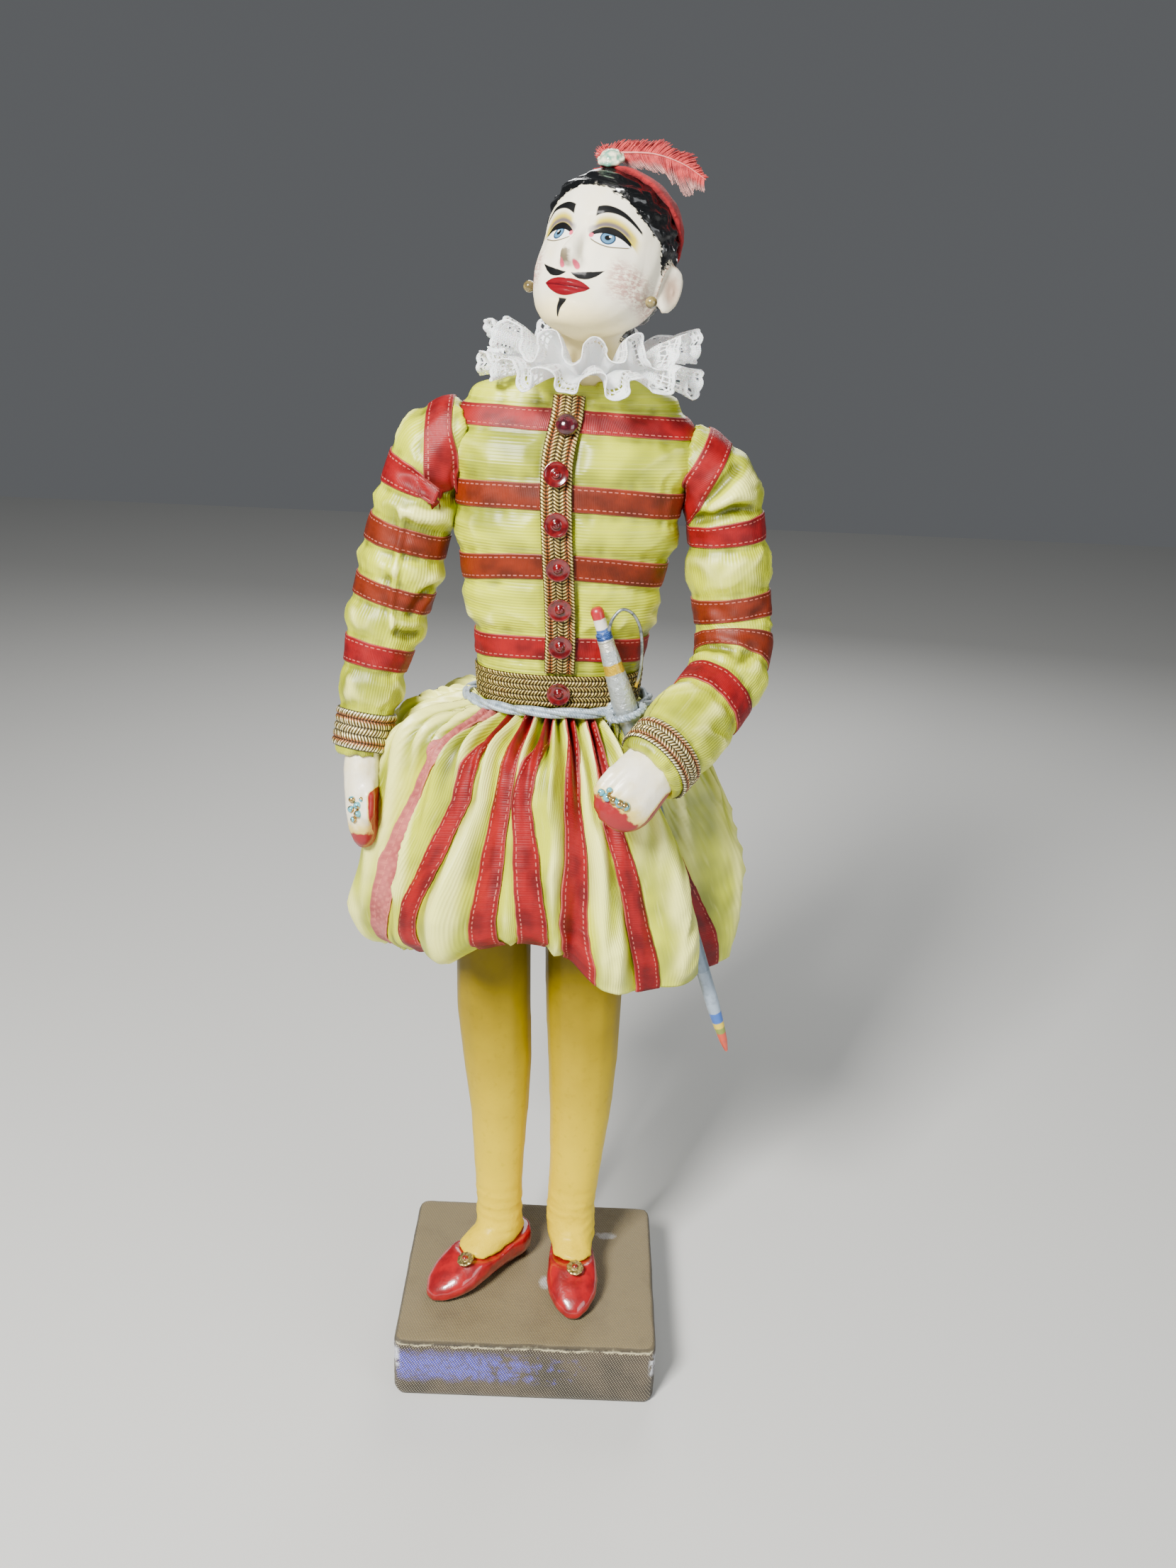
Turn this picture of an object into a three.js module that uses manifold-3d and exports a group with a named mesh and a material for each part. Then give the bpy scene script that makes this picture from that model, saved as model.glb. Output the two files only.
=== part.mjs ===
// A costume doll of a courtier, about a foot tall, standing on a small cloth-covered wooden block.
// Millimetres, +Z up. The doll faces -Y, and +X is at its left hand. The origin is at the middle of
// the block's underside. "left" and "right" are the doll's own.
import * as THREE from "three";
import { mergeVertices } from "three/addons/utils/BufferGeometryUtils.js";
import Module from "manifold-3d";

const wasm = await Module();
wasm.setup();

// Driving dimensions
const BLOCK = { width: 76.2, depth: 63.5, height: 20, round: 1.6 };
const GAP = 0.35; // clearance between touching pieces
const RIBBON = { width: 6.4, thickness: 0.55 };
const BRAID = { thickness: 0.9, beltTop: 212, beltBottom: 203.7, placketWidth: 7.6 };
const CORD_RADIUS = 1.05;
const SEQUIN = { radius: 2.95, thickness: 0.9 };
const WAIST = { x: 2.3, y: 5, z: 203, halfWidth: 19.6, halfDepth: 11.2 };
const HEAD = {
  x: 9.9, y: 3, z: 307.5, halfWidth: 15.2, halfDepth: 17.2, halfHeight: 19,
  turn: 26, tipBack: 24, lean: 4, // degrees: to its right, chin up, crown to its left
};
const SWORD = { top: [11, -11.6, 230.8], tip: [52.8, -10.4, 106.8] };
const CUFF = { width: 8.2, hang: 1.4 };

const vec = (x, y, z) => new THREE.Vector3(x, y, z);
const { lerp, smoothstep, degToRad, clamp } = THREE.MathUtils;
const TURN = 2 * Math.PI;
const OVER_RIBBON = GAP + RIBBON.thickness + GAP;
const bump = (x, middle, width) => Math.exp(-(((x - middle) / width) ** 2));

// A closed body through a row of rings with the same number of points. A loop's last ring joins its first.
function loft(rings, loop = false) {
  const count = rings[0].length;
  const points = rings.flat();
  const faces = [];
  const rows = loop ? rings.length : rings.length - 1;
  for (let row = 0; row < rows; row += 1) {
    const low = row * count;
    const high = ((row + 1) % rings.length) * count;
    for (let i = 0; i < count; i += 1) {
      const next = (i + 1) % count;
      faces.push(low + i, low + next, high + next, low + i, high + next, high + i);
    }
  }
  if (!loop) {
    for (const [row, flip] of [[0, true], [rings.length - 1, false]]) {
      const middle = rings[row].reduce((sum, p) => sum.add(p), vec(0, 0, 0)).divideScalar(count);
      points.push(middle);
      for (let i = 0; i < count; i += 1) {
        const here = row * count + i;
        const next = row * count + ((i + 1) % count);
        faces.push(points.length - 1, flip ? next : here, flip ? here : next);
      }
    }
  }
  return facingOut(points, faces);
}

// A closed body of two layers of a grid of points, joined round their edge.
function slab(outer, inner) {
  const rows = outer.length;
  const columns = outer[0].length;
  const points = [...outer.flat(), ...inner.flat()];
  const under = rows * columns;
  const at = (row, column) => row * columns + column;
  const faces = [];
  const quad = (a, b, c, d) => faces.push(a, b, c, a, c, d);
  const wall = (a, b) => quad(a, b, under + b, under + a);
  for (let r = 0; r < rows - 1; r += 1) {
    for (let c = 0; c < columns - 1; c += 1) {
      quad(at(r, c), at(r, c + 1), at(r + 1, c + 1), at(r + 1, c));
      quad(under + at(r + 1, c), under + at(r + 1, c + 1), under + at(r, c + 1), under + at(r, c));
    }
    wall(at(r, 0), at(r + 1, 0));
    wall(at(r + 1, columns - 1), at(r, columns - 1));
  }
  for (let c = 0; c < columns - 1; c += 1) {
    wall(at(0, c + 1), at(0, c));
    wall(at(rows - 1, c), at(rows - 1, c + 1));
  }
  return facingOut(points, faces);
}

function facingOut(points, faces) {
  let volume = 0;
  for (let i = 0; i < faces.length; i += 3) {
    const [a, b, c] = [points[faces[i]], points[faces[i + 1]], points[faces[i + 2]]];
    volume += a.dot(vec(0, 0, 0).crossVectors(b, c));
  }
  if (volume < 0) faces.reverse();
  const geometry = new THREE.BufferGeometry().setFromPoints(points);
  geometry.setIndex(faces);
  return geometry;
}

function toSolid(geometry) {
  const bare = geometry.index ? geometry.toNonIndexed() : geometry.clone();
  bare.deleteAttribute("normal");
  bare.deleteAttribute("uv");
  const merged = mergeVertices(bare, 1e-4);
  return new wasm.Manifold(new wasm.Mesh({
    numProp: 3,
    vertProperties: merged.attributes.position.array,
    triVerts: new Uint32Array(merged.index.array),
  }));
}

function toGeometry(solid) {
  const mesh = solid.getMesh();
  const geometry = new THREE.BufferGeometry();
  geometry.setAttribute("position", new THREE.BufferAttribute(mesh.vertProperties, mesh.numProp));
  geometry.setIndex(new THREE.BufferAttribute(mesh.triVerts, 1));
  return geometry;
}

const largest = (solid) => toGeometry(solid.decompose().sort((a, b) => b.volume() - a.volume())[0]);

// The largest body left of a geometry after others are cut from it.
const cutBy = (geometry, ...cutters) =>
  largest(cutters.reduce((solid, cutter) => solid.subtract(toSolid(cutter)), toSolid(geometry)));

const joined = (...geometries) =>
  toGeometry(geometries.map(toSolid).reduce((all, one) => all.add(one)));

// A limb is a smooth row of oval sections, facetted in rows. Each station is [x, y, z, half width,
// half depth], and its section lies across the path, or flat where the limb is level. The result gives
// the ring of points at any place along it, lying on its facets.
function limb(stations, sides, rows, { level = false, squareness = 1 } = {}) {
  const path = new THREE.CatmullRomCurve3(stations.map((s) => vec(s[0], s[1], s[2])));
  const size = new THREE.CatmullRomCurve3(stations.map((s) => vec(s[3], s[4], 0)));
  const backwards = vec(0, 1, 0);
  const sections = Array.from({ length: rows + 1 }, (_, row) => {
    const along = level ? vec(0, 0, 1) : path.getTangent(row / rows);
    const across = vec(0, 0, 0).crossVectors(along, backwards).normalize();
    const deep = vec(0, 0, 0).crossVectors(across, along);
    return { centre: path.getPoint(row / rows), half: size.getPoint(row / rows), across, deep };
  });
  const squared = (share) => Math.sign(share) * Math.abs(share) ** squareness;
  const corner = ({ centre, half, across, deep }, angle, grow) => centre.clone()
    .addScaledVector(across, squared(Math.cos(angle)) * (half.x + grow))
    .addScaledVector(deep, squared(Math.sin(angle)) * (half.y + grow));
  const ringAt = (t, grow = 0) => {
    const row = clamp(Math.floor(t * rows), 0, rows - 1);
    return Array.from({ length: sides }, (_, i) => {
      const angle = (i / sides) * TURN;
      return corner(sections[row], angle, grow).lerp(corner(sections[row + 1], angle, grow), t * rows - row);
    });
  };
  ringAt.rows = rows;
  return ringAt;
}

const limbBody = (ringAt, grow = 0) =>
  loft(Array.from({ length: ringAt.rows + 1 }, (_, i) => ringAt(i / ringAt.rows, grow)));

// A band lies round a limb between two places on it.
function band(ringAt, from, to, inner, outer) {
  const places = [from];
  for (let row = 0; row <= ringAt.rows; row += 1) {
    if (row / ringAt.rows > from + 5e-3 && row / ringAt.rows < to - 5e-3) places.push(row / ringAt.rows);
  }
  places.push(to);
  const layer = (off) => places.map((t) => ringAt(t, off));
  return loft([...layer(inner), ...layer(outer).reverse()], true);
}

// A thin disc or dome turned about its own axis, facing the doll's front.
const turned = (profile, sides) =>
  new THREE.LatheGeometry(profile.map((p) => new THREE.Vector2(...p)), sides).rotateX(Math.PI);

const LOOKS = {
  cloth_cover: [0x6e6152, 0.8, 0],
  yellow_stocking: [0xd9bd1c, 0.6, 0],
  red_enamel: [0xb3262a, 0.25, 0],
  yellow_satin: [0xdedd63, 0.45, 0],
  red_satin: [0xa3242a, 0.4, 0],
  rust_satin: [0xa94a2a, 0.4, 0],
  gold_braid: [0xa98b45, 0.4, 0.7],
  silver_cord: [0x9fb0ba, 0.45, 0.5],
  red_sequin: [0x8a1418, 0.2, 0.1],
  painted_flesh: [0xf0e4c8, 0.4, 0],
  red_felt: [0xc03038, 0.9, 0],
  paste_jewel: [0xf0ecd8, 0.1, 0.2],
  red_feather: [0xd84a50, 0.7, 0],
  white_lace: [0xf4f6f2, 0.8, 0],
  painted_silver: [0xa8b0ac, 0.35, 0.6],
};

const doll = new THREE.Group();
const materials = Object.fromEntries(Object.entries(LOOKS).map(([name, [color, roughness, metalness]]) =>
  [name, new THREE.MeshStandardMaterial({ name, color, roughness, metalness })]));

function add(name, material, geometry) {
  const mesh = new THREE.Mesh(geometry, materials[material]);
  mesh.name = name;
  doll.add(mesh);
  return mesh;
}

// The block is a wooden slab with cloth glued round it.
function blockGeometry() {
  const { width, depth, height, round } = BLOCK;
  const half = { x: width / 2 - round, y: depth / 2 - round };
  const outline = new THREE.Shape();
  outline.absarc(half.x - round, half.y - round, round, 0, Math.PI / 2);
  outline.absarc(-half.x + round, half.y - round, round, Math.PI / 2, Math.PI);
  outline.absarc(-half.x + round, -half.y + round, round, Math.PI, 1.5 * Math.PI);
  outline.absarc(half.x - round, -half.y + round, round, 1.5 * Math.PI, TURN);
  return new THREE.ExtrudeGeometry(outline, {
    depth: height - 2 * round, bevelThickness: round, bevelSize: round, bevelSegments: 2, curveSegments: 2,
  }).translate(0, 0, round);
}
add("base_block", "cloth_cover", blockGeometry());

// Legs and shoes
const LEGS = {
  right: {
    stations: [
      [-9.4, 4.4, 26, 6, 6.6], [-10, 5, 31.5, 7, 8], [-10.2, 6, 40, 6.9, 7.2], [-10.5, 6, 49, 7.1, 7.2],
      [-10.8, 6.5, 63.5, 8, 8.2], [-11, 7, 82.5, 9.2, 9.8], [-12.5, 7, 100.5, 10.8, 11],
      [-13.7, 6.5, 126, 10.5, 11.4], [-12.4, 6, 152, 11, 12], [-8.8, 5.4, 178, 9.6, 10.6],
      [-6.2, 5, 199.6, 6.8, 7.4],
    ],
    heel: [-1.9, 11.3], toe: [-29, -15.3], buckle: [-1.4, 3.4],
  },
  left: {
    stations: [
      [11.8, 5, 26, 6.2, 6.6], [12, 5, 31.5, 7.5, 8], [11.5, 6.5, 40, 7.3, 7.3], [12.1, 6.5, 50, 7.6, 7.4],
      [12.8, 6.5, 65, 8.4, 8.3], [13.3, 7, 84, 9.9, 9.9], [12.9, 7, 102, 10.6, 10.9],
      [12.4, 6.5, 126, 11.5, 11.4], [12.3, 6, 152, 11.4, 12], [11.6, 5.4, 178, 9.6, 10.6],
      [9.8, 5, 199.6, 6.8, 7.4],
    ],
    heel: [11.6, 17], toe: [13.5, -21.4], buckle: [0, 0.5],
  },
};
const SHOE = { heelTop: 10.6, sideTop: 8.2, throatTop: 10.4, throat: 0.7 };
// Along a foot from heel to toe: [share, half width, height of the foot with its instep].
const FOOT = [
  [0, 2.2, 10.6], [0.05, 4.6, 12], [0.15, 6, 14.4], [0.3, 6, 18], [0.45, 6.6, 16.6], [0.58, 7.3, 13.6],
  [0.7, 7.7, 10.8], [0.82, 7, 8.4], [0.93, 4.8, 6], [1, 1.8, 3.4],
];

const footFrame = ({ heel, toe }) => {
  const [from, to] = [vec(...heel, 0), vec(...toe, 0)];
  const along = to.clone().sub(from).normalize();
  return { from, to, along, across: vec(-along.y, along.x, 0), length: from.distanceTo(to) };
};

function footGeometry(leg, grow = 0) {
  const { from, to, along, across } = footFrame(leg);
  const floor = BLOCK.height + GAP - grow;
  return loft(FOOT.map(([share, halfWidth, height]) => {
    const middle = from.clone().lerp(to, share).addScaledVector(along, grow * (2 * share - 1));
    return Array.from({ length: 12 }, (_, i) => {
      const angle = (i / 12) * TURN;
      const [sideways, up] = [Math.cos(angle), (Math.sin(angle) + 1) / 2];
      const flat = Math.sign(sideways) * Math.abs(sideways) ** 0.75 * (halfWidth + grow);
      return middle.clone().addScaledVector(across, flat)
        .setZ(floor + Math.max(0, up - 0.04) * (height + 2 * grow));
    });
  }));
}

// Everything above the shoe's top line: high at the heel, low at the sides, up again at the throat.
function aboveTopLine(leg, lift) {
  const { from, along, length } = footFrame(leg);
  const throat = SHOE.throat * length - lift;
  const profile = [
    [-6, SHOE.heelTop], [2, SHOE.heelTop - 0.6], [0.28 * length, SHOE.sideTop + 1.4],
    [0.42 * length, SHOE.sideTop], [throat, SHOE.throatTop], [throat, 30], [0.74 * length, 30],
    [0.74 * length, 195], [-6, 195],
  ];
  const shape = new THREE.Shape(profile.map(([x, y]) => new THREE.Vector2(x, y + lift)));
  return new THREE.ExtrudeGeometry(shape, { depth: 40, bevelEnabled: false })
    .translate(0, 0, -20).rotateX(Math.PI / 2)
    .rotateZ(Math.atan2(along.y, along.x)).translate(from.x, from.y, BLOCK.height);
}

const BUCKLE = [[0, 0], [2.7, 0], [2.9, 0.7], [2.1, 1.2], [1.5, 0.8], [1.1, 1.5], [0, 1.8]];
function addLeg(side) {
  const leg = LEGS[side];
  const ringAt = limb(leg.stations, 12, 11);
  add(`shoe_${side}`, "red_enamel", cutBy(footGeometry(leg), aboveTopLine(leg, 0)));
  const calf = toSolid(limbBody(ringAt)).add(toSolid(footGeometry(leg, -0.4)));
  add(`leg_${side}`, "yellow_stocking", toGeometry(calf.intersect(toSolid(aboveTopLine(leg, GAP)))));
  const { from, to, along, across } = footFrame(leg);
  const spot = from.clone().lerp(to, SHOE.throat + 0.055)
    .addScaledVector(along, leg.buckle[0]).addScaledVector(across, leg.buckle[1]);
  const buckle = turned(BUCKLE, 10).rotateX(-Math.PI / 2).rotateY(degToRad(17))
    .rotateZ(Math.atan2(along.y, along.x)).translate(spot.x, spot.y, BLOCK.height + SHOE.throatTop + 0.9);
  add(`buckle_${side}`, "gold_braid", cutBy(buckle, footGeometry(leg, GAP)));
}
addLeg("right");
addLeg("left");

// The jacket: a trunk of rounded-square sections whose shoulders slope down to the doll's left.
const SHOULDER_SLOPE = 0.03;
const JACKET = [
  [2.3, 5, 203.5, 20, 11.5], [2.3, 5, 212, 20.8, 12], [2.7, 5, 221, 21.8, 12.7], [2.4, 5, 227, 22.8, 13.2],
  [2.3, 4.6, 233, 24.6, 14], [2.9, 4.2, 241, 26, 15.2], [3.1, 4.2, 250, 27, 15.8], [3.5, 4.2, 258, 28, 15.6],
  [4.2, 4.6, 265, 29, 14.8], [4.8, 5, 270, 29.6, 13.4], [4.2, 5.5, 274.8, 27.6, 11.6], [3.6, 6, 278.6, 23.2, 9.8],
  [4.6, 6.5, 280.8, 17, 8.8], [6.2, 6.6, 282, 12.4, 8.4],
];
const jacketLevel = limb(JACKET, 22, 12, { level: true, squareness: 0.86 });
function jacketRing(t, grow = 0) {
  return jacketLevel(t, grow).map((p) => {
    const slope = SHOULDER_SLOPE * smoothstep(p.z, 222, 262);
    return p.setZ(p.z - slope * (p.x - WAIST.x));
  });
}
jacketRing.rows = jacketLevel.rows;

// Where on the jacket a height is reached.
function jacketAt(z) {
  let [low, high] = [0, 1];
  for (let i = 0; i < 24; i += 1) {
    const middle = (low + high) / 2;
    if (jacketLevel(middle)[0].z < z) low = middle;
    else high = middle;
  }
  return low;
}
const jacketUnder = limbBody(jacketRing, OVER_RIBBON);
const jacketSkin = limbBody(jacketRing, GAP - 0.05);
const NECK = [[6.8, 6.8, 276, 9, 8.4], [7, 6.6, 282, 8.8, 8.2], [7.4, 5.6, 290, 8.6, 8.6], [8.4, 4.4, 299, 9, 9]];
const neckRing = limb(NECK, 12, 4);
add("jacket", "yellow_satin", cutBy(limbBody(jacketRing), limbBody(neckRing, GAP)));

// Sleeves: the right arm hangs, and the left forearm comes forward across the hip.
const SLEEVES = {
  right: [
    [-21, 5, 269.5, 8.4, 9], [-27, 5, 267, 9.4, 9.8], [-31.4, 5, 260.6, 9.8, 10], [-34.2, 5, 252, 9.7, 10],
    [-36.8, 5, 243, 9.9, 10], [-38.8, 4.5, 234, 10, 10], [-41, 4, 226, 9.6, 9.6], [-43.2, 2.8, 218, 8.9, 9.2],
    [-45.2, 1.2, 209, 7.5, 8.2], [-46.6, -1, 198.6, 6.7, 7.4], [-48.6, -4, 187.6, 6.2, 7],
  ],
  left: [
    [30.4, 5, 265, 8.4, 9], [36.4, 5, 262.4, 9.2, 9.6], [40.6, 5, 256.2, 9.3, 9.8], [42.6, 5, 248.6, 9.2, 9.8],
    [43.8, 5, 240, 9.6, 9.8], [45.3, 4.8, 231, 9.6, 9.8], [46.8, 3, 221.4, 9.6, 9.7], [45.4, -3, 213.4, 9.5, 9],
    [40.6, -10, 207.8, 9.5, 8.4], [35.2, -17.2, 203.2, 9.6, 7.8], [30, -24, 199.2, 9.5, 7.2],
    [25.6, -29.4, 195.6, 9.3, 6.8],
  ],
};
const sleeveRing = { right: limb(SLEEVES.right, 12, 15), left: limb(SLEEVES.left, 12, 16) };
const ARM_LENGTH = { right: 94, left: 103 };
// The places of the ribbons' upper edges along each arm, from the shoulder (0) to the cuff (1).
const SLEEVE_RIBBONS = {
  right: [[0.205, "red_satin"], [0.362, "rust_satin"], [0.528, "rust_satin"], [0.72, "red_satin"]],
  left: [[0.245, "red_satin"], [0.443, "rust_satin"], [0.543, "rust_satin"], [0.69, "red_satin"]],
};
const HANDS = {
  right: {
    palm: [
      [-47, -3.2, 191, 4.4, 5.4], [-47.6, -4.4, 186, 4.7, 6], [-47.4, -6, 179.6, 4.7, 6.8],
      [-47, -7.4, 172.6, 4.5, 7], [-46.6, -8.4, 167.2, 3.7, 5.6], [-46.2, -8.8, 164, 1.8, 2.6],
    ],
    thumb: [[-46.2, -8, 184, 1.8, 1.8], [-44.8, -12.4, 179.4, 2, 2], [-45, -13.6, 174.4, 1.8, 1.8],
      [-45.4, -12.6, 171.2, 1, 1]],
  },
  left: {
    palm: [
      [30.6, -22.6, 200.4, 6.6, 4.6], [27.4, -26.6, 197.2, 7, 4.8], [23.8, -30, 193.4, 7.8, 5],
      [20.4, -32.4, 189.4, 8, 4.8], [18, -33.8, 185.8, 7, 4], [16.4, -34.4, 183.2, 3.4, 2.2],
    ],
    thumb: [[21.6, -29, 197, 2, 2], [16.8, -32, 195.4, 2.1, 2.1], [13.8, -33.8, 191.6, 1.9, 1.9],
      [13.4, -34.4, 188.4, 1, 1]],
  },
};

function addArm(side) {
  const ringAt = sleeveRing[side];
  const share = (length) => length / ARM_LENGTH[side];
  const palm = limb(HANDS[side].palm, 10, 7);
  const thumb = limb(HANDS[side].thumb, 6, 3);
  add(`hand_${side}`, "painted_flesh", joined(limbBody(palm), limbBody(thumb)));
  add(`sleeve_${side}`, "yellow_satin", cutBy(limbBody(ringAt), jacketUnder, limbBody(palm, GAP)));
  SLEEVE_RIBBONS[side].forEach(([from, satin], i) => {
    const ribbon = band(ringAt, from, from + share(RIBBON.width), GAP, GAP + RIBBON.thickness);
    add(`sleeve_${side}_ribbon_${i + 1}`, satin, cutBy(ribbon, jacketUnder, armhole[side].reach));
  });
  add(`armhole_ribbon_${side}`, "red_satin", armhole[side].ribbon);
  const end = 1 - share(CUFF.hang);
  add(`cuff_${side}`, "gold_braid", band(ringAt, end - share(CUFF.width), end, GAP, GAP + BRAID.thickness));
}

// A ribbon over each armhole seam: a strip of the sleeve's skin between two upright, leaning planes.
const ARMHOLE = {
  right: { x: -28.2, lean: 0, low: 253.2, width: 6.6 },
  left: { x: 37.4, lean: 26, low: 249.4, width: 6.6 },
};
function armholeRibbon(side) {
  const { x, lean, low, width } = ARMHOLE[side];
  const ringAt = sleeveRing[side];
  const strip = (extra) => toSolid(new THREE.BoxGeometry(width + 2 * extra, 60, 80)
    .rotateY(degToRad(lean)).translate(x, 5, 266)).subtract(
    toSolid(new THREE.BoxGeometry(90, 70, 40).translate(x, 5, low - 20 - extra)));
  const skin = toSolid(limbBody(ringAt, GAP + RIBBON.thickness)).subtract(toSolid(limbBody(ringAt, GAP)));
  return {
    ribbon: largest(skin.subtract(toSolid(jacketUnder)).intersect(strip(0))),
    reach: toGeometry(toSolid(limbBody(ringAt, 3)).intersect(strip(GAP))),
  };
}
const armhole = { right: armholeRibbon("right"), left: armholeRibbon("left") };
addArm("right");
addArm("left");

// A point on the jacket at one of its sides and a height.
const onJacket = (side, z, off) => jacketRing(jacketAt(z), off)[side];

// Ribbons round the trunk. Each droops a little towards the sides.
const TRUNK_RIBBONS = [
  { top: 276.2, width: 5, droop: 0.6, rows: 2, satin: "red_satin" },
  { top: 259.6, width: 6.2, droop: 1.8, rows: 1, satin: "rust_satin" },
  { top: 243, width: 6.2, droop: 3, rows: 1, satin: "rust_satin" },
  { top: 222, width: 6, droop: 1.4, rows: 1, satin: "red_satin" },
];
function trunkRibbon({ top, width, droop, rows }) {
  const sides = jacketRing(0).length;
  const layer = (off) => Array.from({ length: rows + 1 }, (_, row) =>
    Array.from({ length: sides }, (_, side) => {
      const drop = droop * Math.cos((side / sides) * TURN) ** 2;
      return onJacket(side, top - drop - (row / rows) * width, off);
    }));
  return cutBy(loft([...layer(GAP), ...layer(GAP + RIBBON.thickness).reverse()], true), jacketSkin);
}
TRUNK_RIBBONS.forEach((ribbon, i) => add(`trunk_ribbon_${i + 1}`, ribbon.satin, trunkRibbon(ribbon)));

// The front of the jacket at a height, for what is sewn there.
function frontOf(x, z, off) {
  const ring = jacketRing(jacketAt(z), off);
  const side = ring.findIndex((p, i) => {
    const next = ring[(i + 1) % ring.length];
    return (p.x - x) * (next.x - x) <= 0 && p.y < WAIST.y && next.y < WAIST.y;
  });
  const [a, b] = [ring[side], ring[(side + 1) % ring.length]];
  return a.clone().lerp(b, (x - a.x) / (b.x - a.x || 1));
}
const frontMiddle = (z) => 1.6 + 1.2 * Math.cos(((z - 215) / 60) * Math.PI * 1.2) + 1.9 * smoothstep(z, 264, 276);

function placketGeometry() {
  const rows = 14;
  const grid = (off) => Array.from({ length: rows }, (_, i) => {
    const z = lerp(BRAID.beltTop + 0.6, 279.4, i / (rows - 1));
    return [-0.5, 0, 0.5].map((s) => frontOf(frontMiddle(z) + s * BRAID.placketWidth, z, off));
  });
  return cutBy(slab(grid(OVER_RIBBON + BRAID.thickness), grid(OVER_RIBBON)), jacketUnder);
}
add("placket", "gold_braid", placketGeometry());
add("belt", "gold_braid",
  band(jacketRing, jacketAt(BRAID.beltBottom), jacketAt(BRAID.beltTop), GAP, GAP + BRAID.thickness));

// Sequins: small cups, each held by a bead. The top one is a domed button.
const SEQUIN_PROFILE = [[0, 0], [SEQUIN.radius, 0.4], [SEQUIN.radius, SEQUIN.thickness], [1.3, 0.5], [0.9, 1.2], [0, 1.4]];
const BUTTON_PROFILE = [[0, 0], [2.4, 0], [2.6, 0.7], [1.9, 1.7], [0, 2.3]];
const SEQUIN_HEIGHTS = [272.9, 262, 250.6, 240, 229.8, 220.2, 207.6];
SEQUIN_HEIGHTS.forEach((z, i) => {
  const off = (i === SEQUIN_HEIGHTS.length - 1 ? GAP : OVER_RIBBON) + BRAID.thickness + GAP;
  const [low, spot, high] = [-1.5, 0, 1.5].map((step) => frontOf(frontMiddle(z) + (i ? 0 : 0.3), z + step, off));
  const sequin = add(`sequin_${i + 1}`, "red_sequin", turned(i ? SEQUIN_PROFILE : BUTTON_PROFILE, 9));
  sequin.position.copy(spot).add(vec(0, -0.3, 0));
  sequin.rotation.x = -Math.atan2(high.y - low.y, high.z - low.z);
});

// The full breeches are gathered satin with ribbons sewn down it. They puff and turn under, except at
// the doll's left, where a front panel hangs outside the sword and a back panel behind it.
const SKIRT = { x: 1.6, y: 5, halfWidth: 48, halfDepth: 36.5, wall: 1.1, rows: 7 };
const PUFF = [[0, 203], [0.03, 201], [0.3, 198.2], [0.62, 194.6], [0.74, 188], [0.84, 176], [0.95, 163],
  [1.02, 152], [0.98, 144], [0.84, 140]];
const HANG = [[0, 203], [0.03, 200.6], [0.2, 196.5], [0.46, 188], [0.66, 177], [0.82, 164], [0.92, 151.5],
  [0.98, 142], [1, 133.5]];
// Where each ribbon's middle runs, in degrees round from the doll's left: at the waist, midway and at the hem.
const SLIT = [[-62, -44, -31.5], [-408, -402, -384]];
const SKIRT_RIBBONS = [
  [-66, -68, -56], [-78, -83, -73], [-90, -98, -94], [-102, -106, -108], [-114, -121, -137], [-128, -140, -158],
  [-160, -176, -188], [-196, -210, -220], [-236, -246, -254], [-280, -284, -288], [-326, -326, -326],
  [-399, -393, -374],
];
const RIBBON_HALF = [2.2, 3.4, 4.8]; // degrees
const profileOf = (points) => new THREE.CatmullRomCurve3(points.map(([f, z]) => vec(f * 50, z, 0)));
const [puff, hang] = [profileOf(PUFF), profileOf(HANG)];
const along3 = ([top, middle, hem], t) =>
  t < 0.5 ? lerp(top, middle, 2 * t) : lerp(middle, hem, 1 - (2 - 2 * t) ** 2);

function skirtPoint(course, t, off = 0) {
  const degrees = along3(course, t);
  const angle = degToRad(degrees);
  const puffed = smoothstep(-degrees, 68, 92) * (1 - smoothstep(-degrees, 300, 345));
  const place = hang.getPoint(t).lerp(puff.getPoint(t), puffed);
  const heading = hang.getTangent(t).lerp(puff.getTangent(t), puffed);
  const steep = Math.hypot(0.57 * heading.x, heading.y);
  const hem = 1 - 0.12 * bump(degrees, -95, 22) + 0.11 * smoothstep(-degrees, 118, 175)
    - 0.05 * smoothstep(-degrees, 300, 350);
  const folds = 1.2 * Math.sin(Math.PI * clamp(t * 1.15, 0, 1)) * Math.cos(degToRad(degrees * 11))
    * smoothstep(-degrees, 48, 62);
  const overSword = 3.2 * (1 - smoothstep(-degrees, 44, 70)) * bump(t, 0.52, 0.14);
  const tucked = 7.5 * smoothstep(-degrees, 362, 392) * smoothstep(t, 0.16, 0.42);
  const puffedOut = 1.8 * smoothstep(-degrees, 330, 345) * (1 - smoothstep(-degrees, 362, 380)) * smoothstep(t, 0.1, 0.5);
  const out = folds + overSword - tucked + puffedOut - (off * heading.y) / steep;
  return vec(
    SKIRT.x + (lerp(WAIST.halfWidth - 0.6, SKIRT.halfWidth, place.x / 50) + out) * Math.cos(angle),
    SKIRT.y + (lerp(WAIST.halfDepth - 0.4, SKIRT.halfDepth, place.x / 50) + out) * Math.sin(angle),
    203 - (203 - place.y) * hem + (off * 0.57 * heading.x) / steep,
  );
}

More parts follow.
